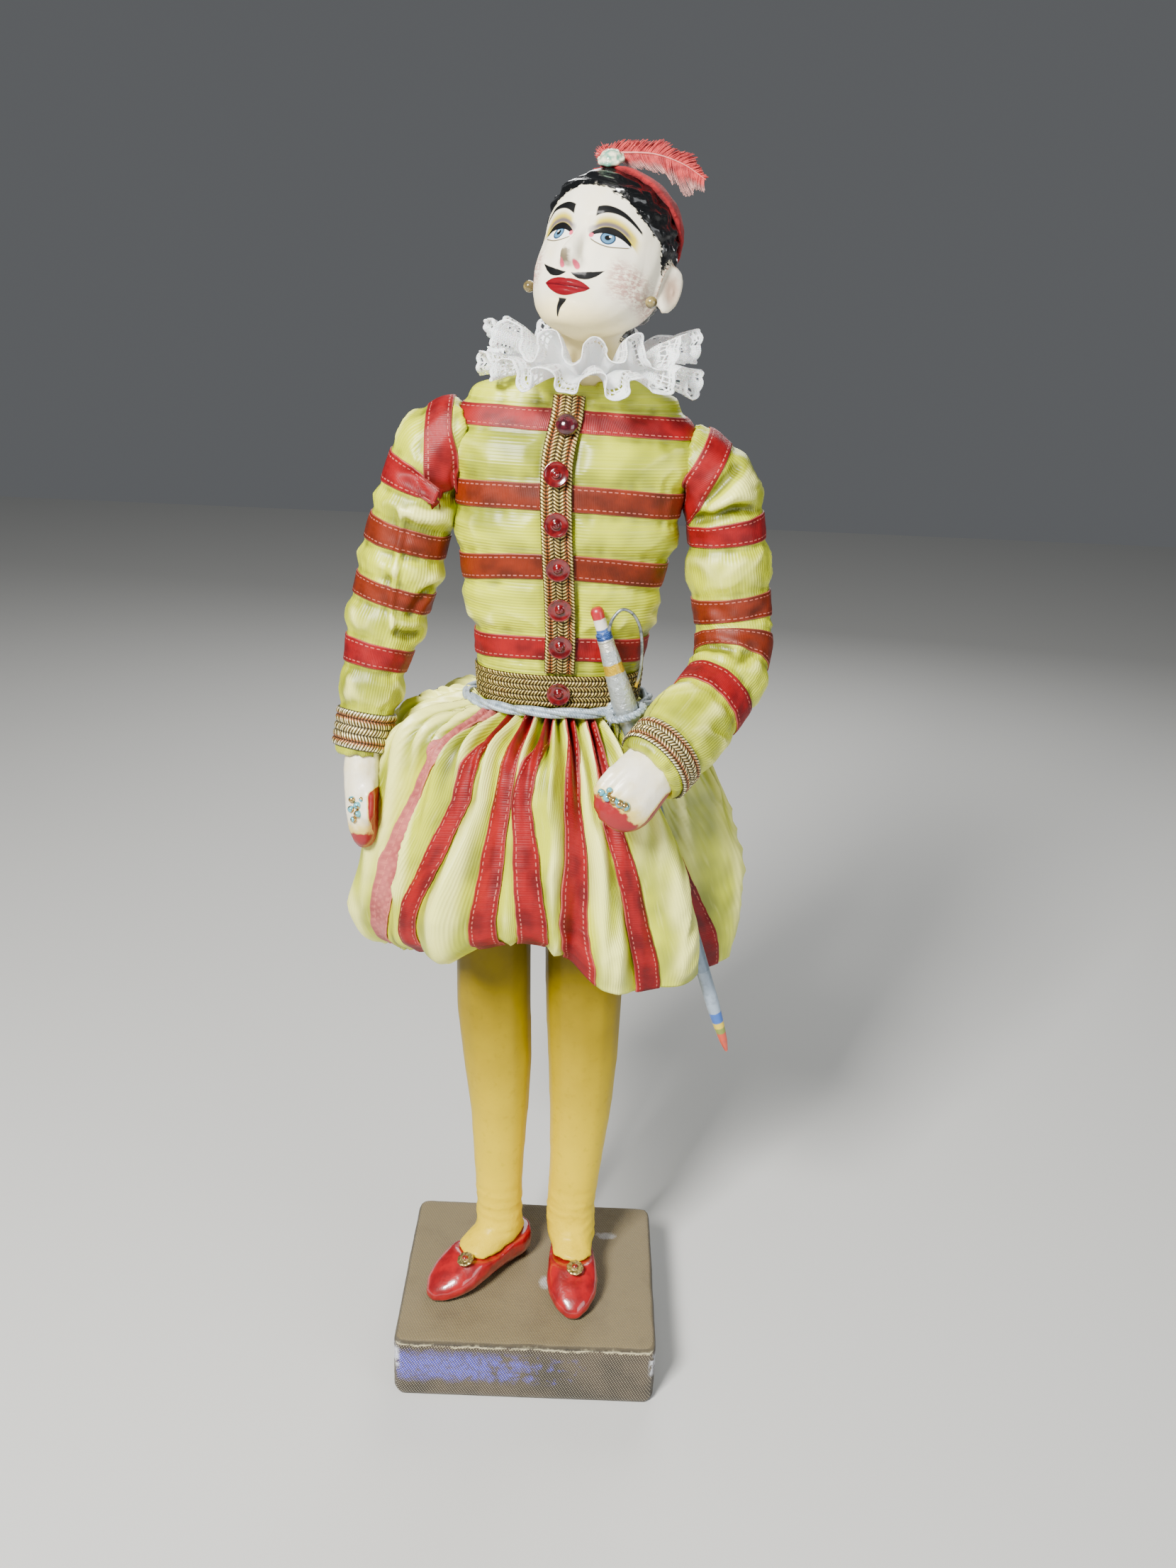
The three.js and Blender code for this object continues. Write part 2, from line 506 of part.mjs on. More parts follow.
// Each ribbon takes two columns of points, and the satin between two ribbons one or more.
const blend = (from, to, share) => from.map((degrees, i) => lerp(degrees, to[i], share));
const edgeOf = (course, sign) => course.map((degrees, i) => degrees + sign * RIBBON_HALF[i]);
const courses = [SLIT[0]];
const ribbonColumns = [];
SKIRT_RIBBONS.forEach((course) => {
  const [last, start] = [courses[courses.length - 1], edgeOf(course, 1)];
  const steps = Math.max(2, Math.round((last[1] - start[1]) / 10));
  for (let i = 1; i < steps; i += 1) courses.push(blend(last, start, i / steps));
  ribbonColumns.push([start, edgeOf(course, -1)]);
  courses.push(...ribbonColumns[ribbonColumns.length - 1]);
});
courses.push(SLIT[1]);

const skirtGrid = (columns, off, fromRow = 0) =>
  Array.from({ length: SKIRT.rows + 1 - fromRow }, (_, row) =>
    columns.map((course) => skirtPoint(course, (fromRow + row) / SKIRT.rows, off)));
const skirtShell = (grow) => slab(skirtGrid(courses, grow), skirtGrid(courses, -SKIRT.wall));
add("skirt", "yellow_satin", skirtShell(0));
ribbonColumns.forEach((columns, i) => {
  const ribbon = slab(skirtGrid(columns, GAP + RIBBON.thickness, 1), skirtGrid(columns, GAP, 1));
  add(`skirt_ribbon_${i + 1}`, "red_satin", cutBy(ribbon, skirtShell(GAP - 0.05)));
});

// The sword hangs at the left hip: a painted rod with a bound grip and a bent wire guard.
const swordTop = vec(...SWORD.top);
const swordDown = vec(...SWORD.tip).sub(swordTop);
const swordLength = swordDown.length();
const alongSword = (geometry, from) => geometry
  .applyQuaternion(new THREE.Quaternion().setFromUnitVectors(vec(0, 1, 0), swordDown.clone().normalize()))
  .translate(...swordTop.clone().addScaledVector(swordDown, from / swordLength).toArray());
const SWORD_PROFILE = [[0, 0], [1.4, 0], [1.7, 1.4], [1.55, 6], [1.7, 8], [2.2, 12], [2.7, 19], [3.1, 25],
  [2.8, 29], [2.1, 38], [1.95, 100], [1.85, swordLength - 16], [1.1, swordLength - 4], [0, swordLength]];
add("sword", "painted_silver",
  alongSword(new THREE.LatheGeometry(SWORD_PROFILE.map((p) => new THREE.Vector2(...p)), 9), 0));

function wire(points, radius, steps) {
  const section = new THREE.Shape();
  section.absarc(0, 0, radius, 0, TURN);
  return new THREE.ExtrudeGeometry(section, {
    steps, curveSegments: 3, bevelEnabled: false,
    extrudePath: new THREE.CatmullRomCurve3(points.map((p) => vec(...p))),
  });
}
const GUARD = [[14.4, -14, 225.6], [15.2, -14.2, 228.6], [17.4, -13.8, 230.9], [20.2, -12.8, 229.6],
  [22.2, -11.8, 225.6], [22.9, -11.2, 219.6], [22.6, -10.8, 214], [21.8, -10.8, 210.8]];
add("sword_guard", "painted_silver", wire(GUARD, 0.4, 12));

// The cord goes round the waist below the belt and is knotted round the sword.
function cordGeometry() {
  const ring = (share) => {
    const out = vec(Math.cos(share * TURN), Math.sin(share * TURN), 0);
    const centre = vec(WAIST.x + (WAIST.halfWidth + 3) * out.x, WAIST.y + (WAIST.halfDepth + 3.2) * out.y, 202.3);
    return Array.from({ length: 6 }, (_, i) => centre.clone()
      .addScaledVector(out, Math.cos((i / 6) * TURN) * CORD_RADIUS)
      .add(vec(0, 0, Math.sin((i / 6) * TURN) * CORD_RADIUS)));
  };
  const waist = loft(Array.from({ length: 26 }, (_, i) => ring(i / 26)), true);
  const loop = alongSword(new THREE.TorusGeometry(4.3, 1.1, 5, 10).rotateX(Math.PI / 2), 28);
  const knot = new THREE.SphereGeometry(3, 8, 5).translate(17.2, -7, 203.6);
  return joined(waist, loop, knot);
}
const swordRoom = alongSword(new THREE.CylinderGeometry(3.1 + GAP, 3.1 + GAP, 30, 12), 28);
add("waist_cord", "silver_cord", cutBy(cordGeometry(), swordRoom,
  limbBody(jacketRing, GAP + BRAID.thickness + GAP)));

// The head in its own frame: -Y forward, +Z up, at its middle. Each row is [height, half width, how far
// it reaches forward, how far back], in shares of the half sizes. The face follows the usual drawing
// proportions: eyes at mid height, the nose and the mouth on the thirds below them.
const SKULL = [
  [-1, 0.26, 0.82, -0.42], [-0.93, 0.46, 0.89, -0.1], [-0.78, 0.68, 0.92, 0.22], [-0.58, 0.85, 0.93, 0.5],
  [-0.36, 0.94, 0.95, 0.72], [-0.14, 0.98, 0.94, 0.86], [0.06, 0.99, 0.92, 0.91], [0.24, 0.98, 0.97, 0.92],
  [0.44, 0.96, 0.96, 0.91], [0.62, 0.91, 0.91, 0.86], [0.78, 0.79, 0.78, 0.75], [0.9, 0.61, 0.6, 0.58],
  [0.975, 0.37, 0.35, 0.35], [1, 0.08, 0.07, 0.07],
];
const skullGeometry = (grow = 0) => loft(SKULL.map(([height, width, front, back]) =>
  Array.from({ length: 20 }, (_, i) => {
    const [sideways, backward] = [Math.cos((i / 20) * TURN), Math.sin((i / 20) * TURN)];
    const [nearY, farY] = [-front * HEAD.halfDepth - grow, back * HEAD.halfDepth + grow];
    return vec(
      sideways * (width * HEAD.halfWidth + grow),
      lerp(nearY, farY, (backward + 1) / 2),
      height * (HEAD.halfHeight + grow),
    );
  })));

function noseGeometry() {
  const { halfDepth, halfHeight } = HEAD;
  const section = (z, width, reach) => [
    vec(-width, -halfDepth * 0.8, z), vec(width, -halfDepth * 0.8, z),
    vec(width * 0.55, -reach, z), vec(0, -reach - 0.5, z), vec(-width * 0.55, -reach, z),
  ];
  return loft([
    section(0.12 * halfHeight, 1.3, halfDepth * 0.9), section(-0.1 * halfHeight, 1.6, halfDepth * 1),
    section(-0.3 * halfHeight, 2.5, halfDepth * 1.12), section(-0.38 * halfHeight, 2.1, halfDepth * 1),
  ]);
}
const earGeometry = (side, grow = 0) => new THREE.SphereGeometry(1, 8, 6)
  .scale(2 + grow, 3.8 + grow, 5.8 + grow)
  .rotateZ(-side * 0.55).rotateX(-0.1).translate(side * 15.7, 3.2, -2.2);

const posed = (geometry) => geometry.clone().rotateX(degToRad(-HEAD.tipBack)).rotateY(degToRad(HEAD.lean))
  .rotateZ(degToRad(-HEAD.turn)).translate(HEAD.x, HEAD.y, HEAD.z);
add("head", "painted_flesh", joined(posed(skullGeometry()), posed(noseGeometry()), posed(earGeometry(1)),
  posed(earGeometry(-1)), limbBody(neckRing)));

// A close felt cap sits on the back of the crown.
const CAP = { wall: 1.1, back: 25, aside: 26, height: 12.9 };
function capGeometry() {
  const shell = toSolid(skullGeometry(GAP + CAP.wall)).subtract(toSolid(skullGeometry(GAP)));
  const keep = new THREE.BoxGeometry(80, 80, 60).translate(0, 0, 30 + CAP.height)
    .rotateX(degToRad(-CAP.back)).rotateZ(degToRad(-CAP.aside));
  return cutBy(toGeometry(shell.intersect(toSolid(keep))), earGeometry(1, GAP), earGeometry(-1, GAP));
}
add("cap", "red_felt", posed(capGeometry()));

// What the head wears is placed in the head's frame and posed with it.
const JEWEL = [[0, 0], [2.9, 0], [3.1, 0.8], [2.3, 2], [0, 2.6]];
add("cap_jewel", "paste_jewel", posed(cutBy(turned(JEWEL, 10).rotateX(-0.55)
  .translate(-1, -HEAD.halfDepth * 0.56, HEAD.halfHeight * 1.06), skullGeometry(GAP + CAP.wall + GAP))));
for (const [side, sign] of [["right", -1], ["left", 1]]) {
  add(`earring_${side}`, "paste_jewel", posed(new THREE.SphereGeometry(1.4, 8, 5)
    .translate(sign * (HEAD.halfWidth + 0.5), -4.2, -8.4)));
}

const FEATHER = {
  thickness: 0.8,
  spine: [[6.4, 5, 331], [13, 4.8, 330.9], [21, 5, 330.2], [28.4, 5.2, 328.4], [34.2, 5.4, 325.4]],
  halfWidth: [1.4, 2.4, 2.9, 2.3, 0.6],
};
function featherGeometry() {
  const spine = new THREE.CatmullRomCurve3(FEATHER.spine.map((p) => vec(...p)));
  const width = new THREE.CatmullRomCurve3(FEATHER.halfWidth.map((w, i) => vec(w, i, 0)));
  const layer = (off) => Array.from({ length: 9 }, (_, i) => {
    const [centre, along, half] = [spine.getPoint(i / 8), spine.getTangent(i / 8), width.getPoint(i / 8).x];
    const up = vec(0, 0, 0).crossVectors(vec(0, 1, 0), along).normalize();
    return [-1, 0, 1].map((s) => centre.clone().addScaledVector(up, s * half).add(vec(0, off + 0.8 * Math.abs(s), 0)));
  });
  return slab(layer(FEATHER.thickness / 2), layer(-FEATHER.thickness / 2));
}
add("feather", "red_feather", featherGeometry());

// The lace ruff: a frill gathered at the neck, whose outer edge rises and falls through these points.
const RUFF_EDGE = [
  [4.4, -17, 283.4], [8, -12, 290.4], [11.9, -16.5, 281.2], [15.1, -9.5, 294.4], [17.4, -14.5, 279],
  [20.6, -5, 295], [24.1, -10.5, 278.2], [25, 1, 296.4], [30, -6, 277.8], [29.4, 5, 294.6], [34.2, -1.5, 280],
  [34.4, 5, 290.6], [33, 9, 283], [28.4, 14, 294.6], [26.5, 17, 284], [21, 20.5, 294], [17, 23, 284],
  [10.5, 24, 294], [6, 26, 284], [0, 22.5, 294], [-5.5, 22, 284.4], [-10.4, 15.5, 295], [-14.5, 13, 286],
  [-15.4, 4, 297.9], [-19.8, 1.5, 288.4], [-15.6, -1.5, 295.4], [-16.4, -6, 284.2], [-9.5, -4, 295],
  [-9.4, -11.5, 281.2], [-3.6, -8.5, 293.4], [-2.6, -15, 283.6], [1.6, -11.5, 289.8],
];
const RUFF = { x: 7.2, y: 6, z: 283.4, halfWidth: 10.4, halfDepth: 9.8, wall: 0.9, leastStep: degToRad(3.8),
  rows: [0, 0.22, 0.6, 1] };
// These rising angles, moved no more than needed to be a least step apart, so that no fold crosses another.
function spread(angles, least) {
  const [up, down] = [[...angles], [...angles]];
  for (let i = 1; i < angles.length; i++) up[i] = Math.max(up[i], up[i - 1] + least);
  for (let i = angles.length - 2; i >= 0; i--) down[i] = Math.min(down[i], down[i + 1] - least);
  return up.map((a, i) => (a + down[i]) / 2);
}
function ruffGeometry() {
  const steps = 2 * RUFF_EDGE.length;
  const path = new THREE.CatmullRomCurve3(RUFF_EDGE.map((p) => vec(...p)), true);
  // two points beside each crest and trough, so that the folds are flat-topped
  const edge = Array.from({ length: steps }, (_, i) => path.getPoint(((i - (i % 2 ? 0.56 : 0.44)) / steps + 1) % 1));
  const bare = edge.map((p) => Math.atan2(p.y - RUFF.y, p.x - RUFF.x));
  const angles = spread(bare.map((a, i) => (i > steps / 2 && a < 0 ? a + 2 * Math.PI : a)), RUFF.leastStep);
  const grid = RUFF.rows.map((share) => edge.map((p, i) => {
    const around = vec(Math.cos(angles[i]), Math.sin(angles[i]), 0);
    const radius = Math.hypot(p.x - RUFF.x, p.y - RUFF.y);
    const inner = vec(RUFF.x + RUFF.halfWidth * around.x, RUFF.y + RUFF.halfDepth * around.y, RUFF.z);
    return inner.lerp(vec(RUFF.x, RUFF.y, p.z).addScaledVector(around, radius), share);
  }));
  const layer = (off) => grid.map((ring, row) => ring.map((p, i) => {
    const onward = ring[(i + 1) % steps].clone().sub(ring[(i + steps - 1) % steps]);
    const outward = grid[Math.min(row + 1, grid.length - 1)][i].clone().sub(grid[Math.max(row - 1, 0)][i]);
    return p.clone().addScaledVector(outward.cross(onward).normalize(), off);
  }));
  const [top, bottom] = [layer(RUFF.wall / 2), layer(-RUFF.wall / 2)];
  return loft([...bottom, ...top.reverse()], true);
}
add("ruff", "white_lace", cutBy(ruffGeometry(), limbBody(jacketRing, OVER_RIBBON + BRAID.thickness + GAP),
  limbBody(neckRing, GAP), posed(skullGeometry(GAP))));

export default doll;
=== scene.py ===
# The finish and the soft pieces of a costume doll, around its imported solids.
import math
import random

import bmesh
import bpy
import numpy as np
from mathutils import Matrix, Vector, noise
from mathutils.bvhtree import BVHTree


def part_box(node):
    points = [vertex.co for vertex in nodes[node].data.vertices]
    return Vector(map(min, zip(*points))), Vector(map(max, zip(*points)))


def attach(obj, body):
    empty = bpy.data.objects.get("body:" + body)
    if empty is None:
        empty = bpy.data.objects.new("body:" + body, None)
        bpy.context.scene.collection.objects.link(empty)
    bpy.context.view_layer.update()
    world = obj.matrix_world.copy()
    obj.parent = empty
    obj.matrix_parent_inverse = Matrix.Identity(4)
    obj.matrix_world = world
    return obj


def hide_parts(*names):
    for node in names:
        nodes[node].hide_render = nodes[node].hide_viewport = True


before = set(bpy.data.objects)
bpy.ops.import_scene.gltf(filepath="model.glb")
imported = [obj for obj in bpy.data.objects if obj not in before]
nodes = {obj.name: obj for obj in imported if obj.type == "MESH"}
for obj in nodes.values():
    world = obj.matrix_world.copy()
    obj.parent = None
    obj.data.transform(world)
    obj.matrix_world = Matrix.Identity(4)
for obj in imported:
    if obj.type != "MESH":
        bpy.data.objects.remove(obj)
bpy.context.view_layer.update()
random.seed(11)
turn = 2 * math.pi
toMetres = Matrix.Scale(0.001, 4)  # pieces are worked out in millimetres

# The camera stands where the photograph was taken from.
camera = {
    "place": (8.74, -321.83, 302.73),
    "right": -0.428, "down": 20.805, "roll": -2.556,  # degrees
    "focalPixels": 1837.2, "frameHeight": 2212, "filmHeight": 36,
}


def makeCamera(settings):
    data = bpy.data.cameras.new("camera")
    data.sensor_fit = "VERTICAL"
    data.sensor_height = settings["filmHeight"]
    data.lens = settings["filmHeight"] * settings["focalPixels"] / settings["frameHeight"]
    data.clip_start = 0.01
    made = bpy.data.objects.new("camera", data)
    bpy.context.scene.collection.objects.link(made)
    aim = (Matrix.Rotation(math.radians(settings["right"]), 4, "Z")
           @ Matrix.Rotation(math.radians(-settings["down"]), 4, "X")
           @ Matrix.Rotation(math.radians(settings["roll"]), 4, "Y"))
    upright = Matrix.Rotation(math.radians(90), 4, "X")  # a camera looks down until it is turned up
    made.matrix_world = Matrix.Translation(Vector(settings["place"]) * 0.001) @ aim @ upright
    bpy.context.scene.camera = made


makeCamera(camera)
print("camera placed")

studio = {
    "floorSize": 3000, "floorColour": (0.6, 0.6, 0.58), "worldColour": (0.75, 0.78, 0.82), "worldLight": 0.15,
    # name: place and aim in millimetres, width in millimetres, watts, colour
    "lights": {
        "keyLight": ((-270, -500, 620), (5, 0, 200), 170, 15.6, (1, 0.98, 0.95)),
        "fillLight": ((560, -460, 300), (5, 0, 150), 400, 2.2, (0.95, 0.98, 1)),
        "rimLight": ((120, 620, 560), (5, 0, 200), 420, 3, (1, 1, 1)),
    },
}


def makeStudio(settings):
    bm = bmesh.new()
    bmesh.ops.create_grid(bm, x_segments=2, y_segments=2, size=settings["floorSize"] / 2)
    bmesh.ops.transform(bm, matrix=toMetres, verts=bm.verts)
    mesh = bpy.data.meshes.new("floor")
    bm.to_mesh(mesh)
    floor = bpy.data.objects.new("floor", mesh)
    bpy.context.scene.collection.objects.link(floor)
    finish = bpy.data.materials.new("floorFinish")
    finish.use_nodes = True
    shader = finish.node_tree.nodes["Principled BSDF"]
    shader.inputs["Base Color"].default_value = (*settings["floorColour"], 1)
    shader.inputs["Roughness"].default_value = 0.8
    mesh.materials.append(finish)
    world = bpy.data.worlds.new("studio")
    world.use_nodes = True
    background = world.node_tree.nodes["Background"]
    background.inputs["Color"].default_value = (*settings["worldColour"], 1)
    background.inputs["Strength"].default_value = settings["worldLight"]
    bpy.context.scene.world = world
    for name, (place, aim, width, watts, colour) in settings["lights"].items():
        data = bpy.data.lights.new(name, "AREA")
        data.size = width / 1000
        data.energy = watts
        data.color = colour
        lamp = bpy.data.objects.new(name, data)
        lamp.location = Vector(place) / 1000
        lamp.rotation_euler = (Vector(aim) - Vector(place)).to_track_quat("-Z", "Y").to_euler()
        bpy.context.scene.collection.objects.link(lamp)


makeStudio(studio)
print("studio lit")


# Materials. A Wire is one socket of a material, and sums written with it add Math nodes.
class Wire:
    def __init__(self, finish, socket):
        self.finish = finish
        self.socket = socket

    def maths(self, operation, first, second=None):
        values = {0: first} if second is None else {0: first, 1: second}
        return self.finish.node("Math", {"operation": operation}, values)

    def __add__(self, other):
        return self.maths("ADD", self, other)

    def __sub__(self, other):
        return self.maths("SUBTRACT", self, other)

    def __rsub__(self, other):
        return self.maths("SUBTRACT", other, self)

    def __mul__(self, other):
        return self.maths("MULTIPLY", self, other)

    def __truediv__(self, other):
        return self.maths("DIVIDE", self, other)

    def __pow__(self, other):
        return self.maths("POWER", self, other)

    def __abs__(self):
        return self.maths("ABSOLUTE", self)

    __radd__ = __add__
    __rmul__ = __mul__

    def sine(self):
        return self.maths("SINE", self)

    def wave(self, length):  # from 0 to 1 and back over each length
        return (self * (turn / length)).sine() * 0.5 + 0.5

    def part(self):
        return self.maths("FRACT", self)

    def least(self, other):
        return self.maths("MINIMUM", self, other)

    def most(self, other):
        return self.maths("MAXIMUM", self, other)

    def above(self, low, high):  # 0 under low, 1 over high, smooth between
        return self.finish.node("MapRange", {"interpolation_type": "SMOOTHSTEP"},
                                {"Value": self, "From Min": low, "From Max": high})

    def below(self, low, high):
        return 1 - self.above(low, high)

    def near(self, value, half, soft):  # 1 within half of a value
        return abs(self - value).below(half - soft, half + soft)


class Finish:
    def __init__(self, name, **look):
        self.material = bpy.data.materials.new(name)
        self.material.use_nodes = True
        self.tree = self.material.node_tree
        self.shader = self.tree.nodes["Principled BSDF"]
        for socket, value in look.items():
            self.set(socket, value)

    def set(self, name, value):  # a socket by its own name, written without spaces
        socket = next(s for s in self.shader.inputs if s.name.replace(" ", "").lower() == name.lower())
        self.join(socket, value)

    def join(self, socket, value):
        if isinstance(value, Wire):
            self.tree.links.new(value.socket, socket)
        elif isinstance(value, tuple) and len(value) == 3 and len(socket.default_value) == 4:
            socket.default_value = (*value, 1)
        else:
            socket.default_value = value

    def node(self, kind, settings=None, values=None, output=0):
        made = self.tree.nodes.new("ShaderNode" + kind)
        for key, value in (settings or {}).items():
            setattr(made, key, value)
        for key, value in (values or {}).items():
            self.join(made.inputs[key], value)
        return Wire(self, made.outputs[output])

    def spot(self, centre=(0, 0, 0), turned=(0, 0, 0)):  # object coordinates in millimetres
        bare = self.node("TexCoord", output="Object")
        return self.node("Mapping", {"vector_type": "TEXTURE"}, {
            "Vector": bare, "Location": tuple(c * 0.001 for c in centre), "Rotation": turned,
            "Scale": (0.001,) * 3})

    def axes(self, vector):
        made = self.node("SeparateXYZ", None, {0: vector}).socket.node
        return [Wire(self, socket) for socket in made.outputs]

    def joined(self, x, y, z=0):
        return self.node("CombineXYZ", None, {0: x, 1: y, 2: z})

    def layer(self, name):  # a number that the mesh carries at each point
        return self.node("Attribute", {"attribute_name": name}, output=2)

    def seam(self):  # millimetres along and across a strip or sheet, from its own map
        return self.node("UVMap", {"uv_map": "weave"})

    def cloud(self, vector, size, detail=2, rough=0.5):  # 0 to 1, blobs about size across
        return self.node("TexNoise", None, {"Vector": vector, "Scale": 1 / size, "Detail": detail,
                                            "Roughness": rough})

    def cells(self, vector, size, jumble):  # 0 on the edges of cells about size across
        return self.node("TexVoronoi", {"feature": "DISTANCE_TO_EDGE"},
                         {"Vector": vector, "Scale": 1 / size, "Randomness": jumble})

    def mix(self, share, under, over):
        made = self.node("Mix", {"data_type": "RGBA", "clamp_factor": True}, {0: share})
        self.join(made.socket.node.inputs[6], under)
        self.join(made.socket.node.inputs[7], over)
        return Wire(self, made.socket.node.outputs[2])

    def relief(self, height, depth):  # height in units of depth millimetres
        bump = self.node("Bump", None, {"Height": height, "Distance": 0.001 * depth, "Strength": 1})
        self.set("normal", bump)


def paint(code):  # a screen colour as the linear one that materials take
    parts = [int(code[i:i + 2], 16) / 255 for i in (0, 2, 4)]
    return tuple(((c + 0.055) / 1.055) ** 2.4 if c > 0.04045 else c / 12.92 for c in parts)


# Shaping tools shared by the pieces, all in millimetres.
def rise(value, low, high):
    share = min(max((value - low) / (high - low), 0), 1)
    return share * share * (3 - 2 * share)


def hill(value, middle, width):
    return math.exp(-((value - middle) / width) ** 2)


def creases(spot):  # sharp-edged soft folds, about -1 to 1
    ridge = 1 - 2.2 * abs(noise.noise(spot))
    return ridge * abs(ridge) * 0.8 + 0.5 * noise.noise(spot * 1.9 + Vector((7, 3, 1)))


def curvePoint(points, share):  # a smooth path through points, from 0 at the first to 1 at the last
    place = share * (len(points) - 1)
    i = min(int(place), len(points) - 2)
    t = place - i
    b, c = Vector(points[i]), Vector(points[i + 1])
    a = Vector(points[i - 1]) if i else 2 * b - c
    d = Vector(points[i + 2]) if i + 2 < len(points) else 2 * c - b
    return 0.5 * (2 * b + (c - a) * t + (2 * a - 5 * b + 4 * c - d) * t ** 2
                  + (3 * b - a - 3 * c + d) * t ** 3)


def lengthsAlong(points):  # how far along a path each of its points is
    lengths = [0]
    for a, b in zip(points, points[1:]):
        lengths.append(lengths[-1] + (b - a).length)
    return lengths


def solidCopy(*names):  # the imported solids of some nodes, welded, to measure or to work over
    bm = bmesh.new()
    for name in names:
        bm.from_mesh(nodes[name].data)
    bmesh.ops.transform(bm, matrix=Matrix.Scale(1000, 4), verts=bm.verts)
    bmesh.ops.remove_doubles(bm, verts=bm.verts, dist=0.001)
    return bm


def treeOf(*names):
    bm = solidCopy(*names)
    tree = BVHTree.FromBMesh(bm)
    bm.free()
    return tree


def evenSkin(bm, size, rounds):  # the same form in even small faces, its facets smoothed away
    mesh = bpy.data.meshes.new("rough")
    bm.to_mesh(mesh)
    bm.free()
    rough = bpy.data.objects.new("rough", mesh)
    bpy.context.scene.collection.objects.link(rough)
    even = rough.modifiers.new("even", "REMESH")
    even.mode = "VOXEL"
    even.voxel_size = size
    skin = bmesh.new()
    skin.from_object(rough, bpy.context.evaluated_depsgraph_get())
    bpy.data.objects.remove(rough)
    bpy.data.meshes.remove(mesh)
    soften(skin, rounds)
    return skin


def soften(bm, rounds):
    for _ in range(rounds):
        bmesh.ops.smooth_vert(bm, verts=bm.verts, factor=0.5, use_axis_x=True, use_axis_y=True,
                              use_axis_z=True)
    bm.normal_update()


def displace(bm, liftAt):  # moves each point along its normal
    bm.normal_update()
    lifts = [(v, liftAt(v.co)) for v in bm.verts]
    for v, lift in lifts:
        v.co += v.normal * lift
    bm.normal_update()


def grainLayer(bm, grainAt):  # a length across the cloth's ribs, for its material
    layer = bm.verts.layers.float.new("grain")
    for v in bm.verts:
        v[layer] = grainAt(v.co)


def drawnGrid(columns, rows, pointAt, mapAt, closed=False, foldAt=None):
    bm = bmesh.new()
    weave = bm.loops.layers.uv.new("weave")
    bmesh.ops.create_grid(bm, x_segments=columns, y_segments=rows, size=0.5)
    fold = bm.verts.layers.float.new("fold")
    shares = {v: (v.co.x + 0.5, v.co.y + 0.5) for v in bm.verts}
    for face in bm.faces:
        for loop in face.loops:
            loop[weave].uv = mapAt(*shares[loop.vert])
    for v, (a, b) in shares.items():
        v.co = pointAt(a, b)
        if foldAt:
            v[fold] = foldAt(a, b)
    if closed:
        bmesh.ops.remove_doubles(bm, verts=bm.verts, dist=0.0005)
    bm.normal_update()
    return bm


def tube(path, radiusAt, sides, steps, closed=False):
    # a round bar along a path of shares, with its length and the way round it in its map
    points = [Vector(path(i / steps)) for i in range(steps + 1)]
    length = lengthsAlong(points)[-1]
    frames = []
    side = None
    for i, point in enumerate(points):
        before = points[i - 1] if i else (points[-2] if closed else point)
        after = points[i + 1] if i < steps else (points[1] if closed else point)
        along = (after - before).normalized()
        if side is None:
            side = along.orthogonal().normalized()
        side = (side - along * side.dot(along)).normalized()
        frames.append((side, along.cross(side)))

    def pointAt(a, b):
        i = round(b * steps)
        angle = -a * turn
        side, up = frames[i % steps if closed else i]
        return points[i] + (side * math.cos(angle) + up * math.sin(angle)) * radiusAt(b)

    bm = drawnGrid(sides, steps, pointAt, lambda a, b: (b * length, a), True)
    if not closed:
        bmesh.ops.holes_fill(bm, edges=[e for e in bm.edges if e.is_boundary], sides=0)
    bmesh.ops.recalc_face_normals(bm, faces=bm.faces)
    return bm


def turnedForm(profile, steps=48):  # spun about Z from its lowest point to its highest
    bm = bmesh.new()
    line = [bm.verts.new((radius, 0, height)) for radius, height in profile]
    edges = [bm.edges.new(pair) for pair in zip(line, line[1:])]
    bmesh.ops.spin(bm, geom=line + edges, cent=(0, 0, 0), axis=(0, 0, 1), angle=turn, steps=steps,
                   use_merge=True)
    bmesh.ops.remove_doubles(bm, verts=bm.verts, dist=0.0001)
    bmesh.ops.recalc_face_normals(bm, faces=bm.faces)
    return bm


def gather(target, *others):  # adds finished meshes to one, so that they make one piece
    for other in others:
        mesh = bpy.data.meshes.new("part")
        other.to_mesh(mesh)
        other.free()
        target.from_mesh(mesh)
        bpy.data.meshes.remove(mesh)
    return target


def middleOf(name):
    low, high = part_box(name)
    return (Vector(low) + Vector(high)) * 500


def finished(name, bm, finish, stands=()):
    bmesh.ops.transform(bm, matrix=toMetres, verts=bm.verts)
    mesh = bpy.data.meshes.new(name)
    bm.to_mesh(mesh)
    bm.free()
    mesh.shade_smooth()
    mesh.materials.append(finish.material)
    piece = bpy.data.objects.new(name, mesh)
    bpy.context.scene.collection.objects.link(piece)
    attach(piece, "root")
    if stands:
        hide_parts(*stands)
    return piece


def thicken(piece, millimetres):
    wall = piece.modifiers.new("wall", "SOLIDIFY")
    wall.thickness = millimetres / 1000
    wall.offset = -1
    return piece


def facesOf(bm):  # the middle and the area of each face
    middles = np.array([f.calc_center_median() for f in bm.faces])
    areas = np.array([f.calc_area() for f in bm.faces])[:, None]
    return middles, areas


def thinWay(middles, areas, centre):  # the way in which a form reaches least from its centre
    spread = middles - centre
    return Vector(np.linalg.eigh((spread * areas).T @ spread)[1][:, 0])


